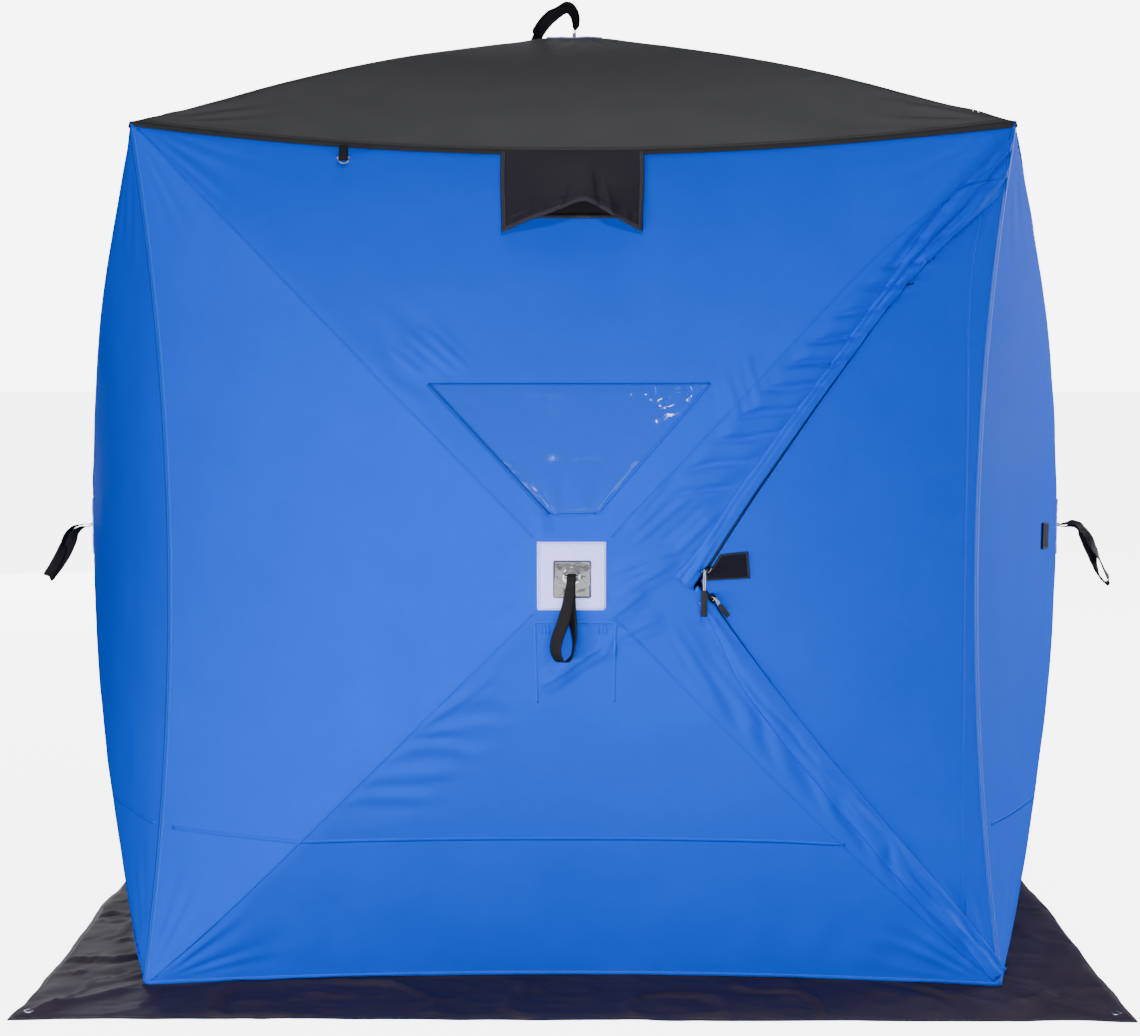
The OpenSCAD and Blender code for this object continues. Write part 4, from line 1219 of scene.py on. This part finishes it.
# ------------------------------------------------------------------ vent
def vent():
    face = "front"
    # netting under the hood, laid over the wall, with its gaps painted near-black as painted shade of the inside
    pts, faces, X, Y = quad_patch("front", [(-80, 775), (80, 775), (102, 707), (-102, 707)], 30, 16, 1.6)
    net = make_mesh("vent_net", pts, faces, mats=(NET_SHADED_GAPS,))
    fix_out(net, FM[face][0][:, 2])
    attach(net, "vent_base")
    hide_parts("vent_mesh")
    for i, (p, q) in enumerate((((-80, 775), (80, 775)), ((80, 775), (102, 707)), ((102, 707), (-102, 707)), ((-102, 707), (-80, 775)))):
        o = strip("front", f"vent_net_tape_{i}", line(p, q, 20), 9.0, 2.4, HEMB, thick=0.8, seg=6.0)
        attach(o, "vent_base")
    # hood: a curved sheet, flat on the wall at its sides and arched in front of the netting
    nu, nv = 96, 56
    U, V = np.meshgrid(np.linspace(-1, 1, nu + 1), np.linspace(0, 1, nv + 1))
    U, V = U.ravel(), V.ravel()
    half = 146 - 3.0 * V + 1.4 * np.sin(V * 5)
    x = U * half
    Us = U - 0.17
    ramp_ = np.where(Us < 0, (U + 1) / 1.17, (1 - U) / 0.83)
    bottom = 674 + 60.0 * (1 - np.sqrt((1 - ramp_) ** 2 + 0.012)) / (1 - math.sqrt(0.012)) + 1.5 * np.sin(U * 7)
    top = 842.0
    y = top + (bottom - top) * V
    s, t = st_of(x, y, True)
    base = z_of(s, t, True)
    arch = (1 - np.abs(U) ** 1.7)
    z = base + 3.0 + 6 * V + 46.0 * arch * step(V, 0.02, 1.05) * (0.85 + 0.15 * np.cos(U * 2))
    # dents and pulled folds
    z = z - 7.0 * np.exp(-((U - 0.28 - 0.12 * V) / 0.045) ** 2) * step(V, 0.25, 0.6) * (1 - 0.35 * V)
    z = z - 4.5 * np.exp(-((U + 0.05 + 0.25 * (V - 0.5)) / 0.05) ** 2) * step(V, 0.5, 0.8)
    z = z + 3.4 * np.exp(-((U - 0.44 - 0.28 * (V - 0.5)) / 0.045) ** 2) * step(V, 0.3, 0.8)
    z = z + 2.2 * fbm(U * 2.6 + 4, V * 2.2 + 3, 2) * step(V, 0, 0.3)
    z = z - 3.0 * np.exp(-((V - 0.86 - 0.02 * np.sin(U * 6)) / 0.02) ** 2) * step(np.abs(U), 0.98, 0.8)
    z = z + 1.3 * np.sin(U * 30 + 5 * V + 2 * noise(U * 4, V * 3, 3)) * np.exp(-((V - 0.9) / 0.1) ** 2) * step(np.abs(U), 0.2, 0.5)
    P = to_world(face, np.stack([x, y, z], -1))
    F = []
    w = nu + 1
    for j in range(nv):
        for i in range(nu):
            q = j * w + i
            F.append((q, q + w, q + w + 1, q + 1))
    hood = make_mesh("vent_hood_cloth", P, F, mats=(HOOD,))
    fix_out(hood, FM[face][0][:, 2])
    solidify(hood, 0.0012, 1.0)
    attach(hood, "vent_hood")
    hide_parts("vent_hood")
    # hem bands round its free edges
    def hem_run(name, idx, inward, wd):
        A = P[idx]
        B = P[inward]
        d = B - A
        L = np.linalg.norm(d, axis=1)[:, None]
        d = d / np.maximum(L, 1e-6)
        n = len(idx)
        nrm = FM[face][0][:, 2]
        V_, UV_ = [], []
        s_ = np.r_[0, np.cumsum(np.linalg.norm(np.diff(A, axis=0), axis=1))]
        for i in range(n):
            for c in (-0.05, 0.33, 0.66, 1.0):
                V_.append(A[i] + d[i] * c * wd + nrm * (0.0022 if 0 < c < 1 else 0.0014))
                UV_.append((s_[i], (c - 0.5) * wd))
        F_ = []
        for i in range(n - 1):
            for j in range(3):
                q = i * 4 + j
                F_.append((q, q + 1, q + 5, q + 4))
        o = make_mesh(name, V_, F_, mats=(HEMB,), uv=np.array(UV_))
        fix_out(o, nrm)
        solidify(o, 0.0008, 1.0)
        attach(o, "vent_hood")
    rows = np.arange(nv + 1)
    hem_run("hood_hem_left", rows * w, rows * w + 3, 0.009)
    hem_run("hood_hem_right", rows * w + nu, rows * w + nu - 3, 0.009)
    cols = np.arange(nu + 1)
    hem_run("hood_hem_bottom", nv * w + cols, (nv - 4) * w + cols, 0.011)
    # hook-and-loop patches that hold its sides to the wall
    for sx in (-1, 1):
        q = strip("front", f"hood_hold_{sx}", line((sx * 134, 700), (sx * 136, 680), 6), 15.0, 2.0, HEMB, thick=1.6, seg=5.0)
        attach(q, "vent_base")
vent()

# ------------------------------------------------------------------ tabs
def tab_piece(face, quad, name, body, mat, lift=4.2, thick=0.0016, bevel_rows=20):
    pts, faces, X, Y = quad_patch(face, quad, 26, 18, lift, extra=lambda U, V, x, y: 0.5 * noise(U * 3 + 2, V * 3, 2) - 1.2 * (1 - step(np.minimum(np.minimum(U, 1 - U), np.minimum(V, 1 - V)), 0, 0.07)))
    o = make_mesh(name, pts, faces, mats=(mat,))
    fix_out(o, FM[face][0][:, 2])
    solidify(o, thick, 0.0)
    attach(o, body) if body else hold_face(o)
    rim = []
    q = [np.array(p, float) for p in quad]
    c = sum(q) / 4
    qi = [c + (p - c) * 0.93 for p in q]
    for i in range(4):
        r = strip(face, f"{name}_rim_{i}", line(qi[i], qi[(i + 1) % 4], 12), 3.0, lift + 1.1, HEMB, thick=0.6, seg=4.0)
        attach(r, body) if body else hold_face(r)
    return o
# quad order: top left, top right, bottom right, bottom left
t1 = tab_piece("front", [(297, 34), (355, 37), (359, -13), (263, -14)], "door_hook_loop", "door", TAB, lift=3.6)
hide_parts("door_tab")

t2 = tab_piece("right", [(-420, 40), (-350, 34), (-350, -26), (-420, -20)], "side_hook_loop", None, TAB, lift=3.6)
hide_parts("sewn_tabs")

# webbing that holds the ring under the eave
ring_c = (-465, 826, 8)
def ring_tab():
    face = "front"
    a = math.atan(168 / 450 + 0.09)
    up = np.array([0, math.cos(a), math.sin(a) * -1.0])
    out = np.array([0, math.sin(a), math.cos(a)])
    s, t = st_of(np.array([-465.0]), np.array([860.0]), True)
    pts = [(-465, 852, 6), (-465, 842, 9), (-465, 833, 11.5), (-465, 826.5, 12.4), (-465, 821.5, 10.5), (-465, 821.0, 6.5), (-465, 825, 4.2), (-465, 834, 3.2), (-465, 850, 1.0)]
    P = [loc(face, p) for p in pts]
    o = webbing("ring_webbing", P, [vec(face, (1, 0, 0))] * len(P), 0.018, WEB)
    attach(o, "root")
ring_tab()

# ------------------------------------------------------------------ sliders and pulls
def at(face, p, xdir, zdir):
    x = np.array(xdir, float); x /= np.linalg.norm(x)
    z = np.array(zdir, float); z /= np.linalg.norm(z)
    y = np.cross(z, x); y /= np.linalg.norm(y)
    z = np.cross(x, y)
    m = np.stack([x, y, z], 1)
    R = FM[face][0] @ m
    T = loc(face, p)
    M = np.eye(4); M[:3, :3] = R; M[:3, 3] = T
    return Matrix(M.tolist())

fall = (HB - 168.0) / (450 - 68)
tv = np.array([DV[0], DV[1], HB - fall * (DV[0] - 68) + 5])
tu = np.array([DU[0], DU[1], 30.0]); tl = np.array([DL[0], DL[1], 30.0])
unit = lambda v: np.array(v, float) / np.linalg.norm(v)
nu_, nl_ = unit([0.33, -0.06, 1]), unit([0.33, 0.06, 1])
d_up, d_lo = unit(tu - tv), unit(tl - tv)
pu_, pl_ = tv + d_up * 27, tv + d_lo * 44
tan_x, out_n = unit([1, 0, -fall]), unit([fall, 0, 1])
low_w = unit(np.cross(nl_, d_lo)); low_n = np.cross(d_lo, low_w)

def place(o, M):
    o.data.transform(M)
    return o

def box_at(name, size, bevel, mat, M, off=(0, 0, 0)):
    o = rounded_box(name, [s / 1000 for s in size], bevel / 1000, mat)
    o.data.transform(Matrix.Translation(Vector([c / 1000 for c in off])))
    return place(o, M)

def tube_at(name, pts, r, mat, M, **kw):
    o = tube(name, [[c / 1000 for c in p] for p in pts], (np.array(r) / 1000).tolist() if hasattr(r, "__len__") else r / 1000, mat, **kw)
    return place(o, M)

def slider(name, P, Q, n, Mx, node, body):
    """Zip slider: two plates joined by a wedge, rails down the sides, a bridge that carries the pull."""
    d = unit(Q - P)
    w = unit(np.cross(n, d)); nn = np.cross(d, w)
    M = at("front", P, d, nn)
    parts = []
    # top plate, narrow at the back
    prof = [(-9, -4.4), (-6, -6.6), (3, -6.9), (9, -5.2), (9.6, 0), (9, 5.2), (3, 6.9), (-6, 6.6), (-9, 4.4)]
    for z0, z1 in ((6.6, 8.8), (0.2, 1.8)):
        bm = bmesh.new()
        lo = [bm.verts.new((x / 1000, y / 1000, z0 / 1000)) for x, y in prof]
        hi = [bm.verts.new((x * 0.93 / 1000, y * 0.93 / 1000, z1 / 1000)) for x, y in prof]
        k = len(prof)
        bm.faces.new(hi); bm.faces.new(lo[::-1])
        for i in range(k):
            bm.faces.new((lo[i], lo[(i + 1) % k], hi[(i + 1) % k], hi[i]))
        bmesh.ops.bevel(bm, geom=bm.edges[:], offset=0.0004, segments=2, affect="EDGES")
        me = bpy.data.meshes.new(name + "_plate")
        bm.to_mesh(me); bm.free()
        me.polygons.foreach_set("use_smooth", [True] * len(me.polygons))
        me.materials.append(DARKSTEEL)
        o = bpy.data.objects.new(name + "_plate", me)
        bpy.context.scene.collection.objects.link(o)
        parts.append(place(o, M))
    for sy in (-1, 1):
        parts.append(box_at(name + "_rail", (15, 1.2, 5.4), 0.4, DARKSTEEL, M, (-0.5, sy * 6.0, 4.6)))
    parts.append(box_at(name + "_wedge", (4, 3, 6.4), 0.6, DARKSTEEL, M, (7.2, 0, 4.4)))
    # bridge
    parts.append(tube_at(name + "_bridge", [(-6, 0, 8.4), (-5.4, 0, 12.0), (-2, 0, 14.2), (3, 0, 14.2), (6.6, 0, 12.0), (7, 0, 8.4)], 1.15, STEEL, M, seg=8))
    # the small eye that the pull turns on
    for sx in (-5.4, 5.4):
        parts.append(box_at(name + "_ear", (1.8, 5.0, 8.5), 0.5, DARKSTEEL, Mx, (sx, 0, -3.6)))
    parts.append(tube_at(name + "_axle", [(-6.4, 0, 0), (0, 0, 0), (6.4, 0, 0)], 1.1, STEEL, Mx, seg=10))
    o = join(parts, name + "_metal")
    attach(o, body)
    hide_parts(node)
    return o

Mu = at("front", pu_ + tan_x * -10 + out_n * 16.2, tan_x, out_n)
Ml = at("front", pl_ + low_n * 16.2, low_w, low_n)
slider("slider_u", pu_, tu, nu_, Mu, "slider_upper", "upper_slider")
slider("slider_l", pl_, tl, nl_, Ml, "slider_lower", "lower_slider")

def pull(name, M, cord_len, tab_len, node, body, wide=13.0):
    parts = []
    L = cord_len
    # doubled pale cord through the axle
    for sx in (-1.0, 1.0):
        parts.append(tube_at(name + "_cord", [(sx * 0.7, 0.2, 2.6), (sx * 1.2, -5, 2.5), (sx * 1.9, -L * 0.45, 1.3), (sx * 1.6, -L * 0.8, 0.6), (sx * 1.0, -L - 3, 0.1)], 1.25, CORD, M, seg=9))
    parts.append(tube_at(name + "_loop", [(-0.9, -3, 2.7), (-1.0, 1.2, 2.4), (-0.4, 2.8, 0), (0.4, 2.8, -0.4), (0.9, 1.5, -2.2), (0.9, -3, -1.4)], 1.1, CORD, M, seg=9))
    # moulded grip: wide at the end, a raised rim, five ribs on each side
    y0, y1 = -L, -L - tab_len
    grip = box_at(name + "_grip", (wide, tab_len, 3.4), 1.3, RUBBER, M, (0, (y0 + y1) / 2, 0))
    parts.append(grip)
    parts.append(box_at(name + "_neck", (wide * 0.62, 7, 4.2), 1.2, RUBBER, M, (0, y0 + 1.0, 0)))
    for s in (-1, 1):
        for i in range(5):
            parts.append(box_at(name + "_rib", (wide * 0.62, 1.2, 0.9), 0.3, GREYP if False else RUBBER, M, (0, y1 + 5 + i * (tab_len - 12) / 4, s * 1.9)))
        parts.append(box_at(name + "_rim", (1.0, tab_len - 6, 0.8), 0.3, RUBBER, M, (s * (wide / 2 - 1.4), (y0 + y1) / 2, 1.8)))
    o = join(parts, name + "_whole")
    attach(o, body)
    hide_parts(node)
pull("pull_u", Mu, 42, 48, "pull_upper", "upper_pull")
pull("pull_l", Ml, 18, 28, "pull_lower", "lower_pull", wide=10.5)

# ------------------------------------------------------------------ skirt
def skirt():
    """One sheet that lies round the shelter: sewn to the hem at its inner edge, lying on the floor outside it."""
    per = 150
    rows = 26
    # inner boundary: the hem of each wall in turn; outer: the cut edge
    inner, outer = [], []
    for face in ("front", "right", "back", "left"):
        k = np.linspace(-1, 1, per, endpoint=False)
        x, y = xy_of(k, -np.ones_like(k), True)
        bow = HEM * (1 - k ** 2)
        m, o = FM[face]
        q = (np.stack([x, np.full_like(x, -H), -bow - 2.0], -1) @ m.T + o)
        inner.append(q[:, :2])
        e = 1130.0
        xo = k * (e + 0.0)
        q = (np.stack([xo, np.full_like(xo, -H), np.full_like(xo, e - H)], -1) @ m.T + o)
        outer.append(q[:, :2])
    A = np.concatenate(inner); B = np.concatenate(outer)
    N = len(A)
    # soft waves in the cut edge
    L = np.r_[0, np.cumsum(np.hypot(*(B[1:] - B[:-1]).T))]
    dirn = B / np.linalg.norm(B, axis=1)[:, None]
    corner = np.minimum(np.abs(np.abs(B[:, 0]) - 1130), np.abs(np.abs(B[:, 1]) - 1130))
    cut = 5.0 * noise(L / 240, L * 0, 1) + 2.5 * noise(L / 70, L * 0, 2)
    cut -= cut.max()
    ax_out = np.where(np.abs(B[:, :1]) > np.abs(B[:, 1:2]), np.array([[1, 0]]) * np.sign(B[:, :1]), np.array([[0, 1]]) * np.sign(B[:, 1:2]))
    near = np.minimum(1130 - np.abs(B[:, 0]), 1130 - np.abs(B[:, 1]))
    to_corner = np.maximum(1130 - np.abs(B[:, 0]), 1130 - np.abs(B[:, 1]))
    B = B + ax_out * (cut * step(to_corner, 10, 120))[:, None]
    f = np.linspace(0, 1, rows + 1)
    P = A[None] * (1 - f)[:, None, None] + B[None] * f[:, None, None]
    X, Y = P[..., 0], P[..., 1]
    F_ = np.repeat(f[:, None], N, 1)
    LL = np.repeat(L[None], rows + 1, 0)
    # folds across the skirt, larger by the hem, and a few long ones
    k1 = np.sin(LL / 26.0 + 2.6 * noise(LL / 210, F_ * 0.8, 1) + 1.2 * noise(X / 120, Y / 120, 2))
    amp = 3.0 * step(noise(LL / 330 + 9, F_ * 0, 3), -0.5, 0.6) * (1 - 0.45 * F_)
    z = 3.2 + amp * (k1 * 0.5 + 0.5) * 1.2
    z = z + 5.0 * np.maximum(0, fbm(X / 130, Y / 130, 1)) * step(F_, 0.05, 0.3)
    z = z + 2.6 * np.abs(noise(X / 38, Y / 38, 4))
    ridge_ = np.exp(-(noise(X / 210 + 3, Y / 210, 2) / 0.055) ** 2)
    z = z + 8.0 * ridge_ * step(F_, 0.0, 0.15) * step(F_, 1.0, 0.9)
    r2 = np.exp(-(noise(X / 90 + 13, Y / 150, 3) / 0.06) ** 2)
    z = z + 4.0 * r2 * step(F_, 0.0, 0.15) * step(F_, 1.0, 0.93)
    # a gathered fold on each corner
    cd = np.abs(np.abs(X) - np.abs(Y)) / math.sqrt(2)
    z = z + 9.0 * np.exp(-(cd / 15.0) ** 2) * step(F_, 0.0, 0.2) * step(F_, 1.0, 0.75)
    z = z * (1 - 0.75 * step(F_, 0.93, 1.0)) + 0.0
    z = np.where(F_ < 0.06, z * 0.5 + 7.0 * (1 - F_ / 0.06), z)
    z = np.maximum(z, 1.6)
    V = np.stack([X.ravel(), Y.ravel(), z.ravel()], -1) / 1000.0
    faces = []
    for j in range(rows):
        for i in range(N):
            a, b = j * N + i, j * N + (i + 1) % N
            faces.append((a, a + N, b + N, b))
    ob = make_mesh("skirt_sheet", V, faces, mats=(SKIRT,))
    fix_out(ob, (0, 0, 1))
    solidify(ob, 0.0012, -1.0)
    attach(ob, "root")
    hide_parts("skirt")
    # turned hem along the cut edge
    V2, UV2, F2 = [], [], []
    last = P[-1]; prev = P[-2]
    d = prev - last
    d /= np.linalg.norm(d, axis=1)[:, None]
    zz = z[-1]
    for i in range(N):
        for c in (-0.1, 0.35, 0.7, 1.0):
            q = last[i] + d[i] * c * 12.0
            V2.append((q[0] / 1000, q[1] / 1000, (zz[i] + (1.0 if 0 < c < 1 else 0.4) + c * 1.5) / 1000))
            UV2.append((L[i] / 1000, (c - 0.5) * 0.012))
    for i in range(N):
        for j in range(3):
            a, b = i * 4 + j, ((i + 1) % N) * 4 + j
            F2.append((a, a + 1, b + 1, b))
    o = make_mesh("skirt_hem", V2, F2, mats=(HEMB,), uv=np.array(UV2))
    fix_out(o, (0, 0, 1))
    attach(o, "root")
    # an eyelet in each corner, for pegs
    for sx in (-1, 1):
        for sy in (-1, 1):
            c = np.array([sx * 1.095, sy * 1.095, 0.0085])
            pts = [c + np.array([math.cos(a) * 0.0085, math.sin(a) * 0.0085, 0]) for a in np.linspace(0, 2 * math.pi, 12, endpoint=False)]
            e = tube(f"eyelet_{sx}_{sy}", pts, 0.0022, STEEL, seg=8, closed=True, res=3)
            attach(e, "root")
skirt()

# ------------------------------------------------------------------ the frame's own parts keep their shape and get a finish
def paint(node, mat):
    o = frame["nodes"][node]
    o.data.materials.clear()
    o.data.materials.append(mat)
    for p in o.data.polygons:
        p.material_index = 0
for n in frame["nodes"]:
    if n.startswith("pole_"):
        paint(n, ROD)
    elif n.startswith("hub_") or n == "corner_blocks":
        paint(n, PLASTIC)
    elif n.startswith("pins_") or n in ("corner_pins", "d_ring"):
        paint(n, STEEL)

# ------------------------------------------------------------------ studio
def area_light(name, loc_, target, size, power, color=(1, 1, 1), size_y=None):
    d = bpy.data.lights.new(name, "AREA")
    d.energy = power
    d.size = size
    d.color = color
    if size_y:
        d.shape = "RECTANGLE"
        d.size_y = size_y
    o = bpy.data.objects.new(name, d)
    o.location = loc_
    o.rotation_euler = (Vector(target) - Vector(loc_)).to_track_quat("-Z", "Y").to_euler()
    bpy.context.scene.collection.objects.link(o)
    return o
area_light("low_left", (-3.2, -3.8, 0.3), (-0.5, -0.9, 0.3), 1.6, 112, size_y=0.5)
area_light("low_front", (0.0, -4.6, 0.35), (0, -0.9, 0.4), 3.2, 90, size_y=0.6)
area_light("skirt_fill", (0.0, -2.5, 1.1), (0, -1.4, 0.0), 3.0, 16, size_y=0.4)
area_light("glint", (0.6, -5.0, 4.4), (0.1, -1.1, 1.3), 0.45, 78)
area_light("right", (6.2, 1.2, 1.6), (1.0, 0, 1.0), 3.5, 420)
area_light("right_back", (6.5, 4.0, 2.0), (1.0, 0.3, 1.0), 3.0, 110)
area_light("top", (0.2, 0.2, 6.2), (0, 0, 1.8), 4.0, 112)
area_light("back", (-2.0, 7.0, 2.4), (0, 0.6, 1.0), 4.5, 330)
area_light("left", (-7.0, 1.0, 1.0), (-1.0, 0, 1.0), 3.0, 22)

world = bpy.data.worlds.new("studio")
bpy.context.scene.world = world
world.use_nodes = True
bg = world.node_tree.nodes["Background"]
bg.inputs[0].default_value = (1, 1, 1, 1)
bg.inputs[1].default_value = 7.0
world.cycles_visibility.diffuse = False
world.cycles_visibility.glossy = False
world.cycles_visibility.transmission = False

floor_me = bpy.data.meshes.new("floor")
R = 40.0
floor_me.from_pydata([(-R, -R, -0.0005), (R, -R, -0.0005), (R, R, -0.0005), (-R, R, -0.0005)], [], [(0, 1, 2, 3)])
floor_ob = bpy.data.objects.new("floor", floor_me)
bpy.context.scene.collection.objects.link(floor_ob)
fm = bpy.data.materials.new("floor_white")
fm.use_nodes = True
fb = fm.node_tree.nodes["Principled BSDF"]
fb.inputs["Base Color"].default_value = (0.8, 0.8, 0.8, 1)
fb.inputs["Roughness"].default_value = 0.9
fb.inputs["Specular IOR Level"].default_value = 0.0
fb.inputs["Emission Color"].default_value = (1, 1, 1, 1)
fb.inputs["Emission Strength"].default_value = 5.6
floor_ob.visible_diffuse = False
floor_ob.visible_glossy = False
floor_me.materials.append(fm)

cam = bpy.data.cameras.new("camera")
cam.lens = 73.14
cam.sensor_width = 36
cam_ob = bpy.data.objects.new("camera", cam)
cam_ob.location = (0.026, -5.656, 1.396)
cam_ob.rotation_euler = (math.radians(85.13), 0, math.radians(0.37))
bpy.context.scene.collection.objects.link(cam_ob)
bpy.context.scene.camera = cam_ob
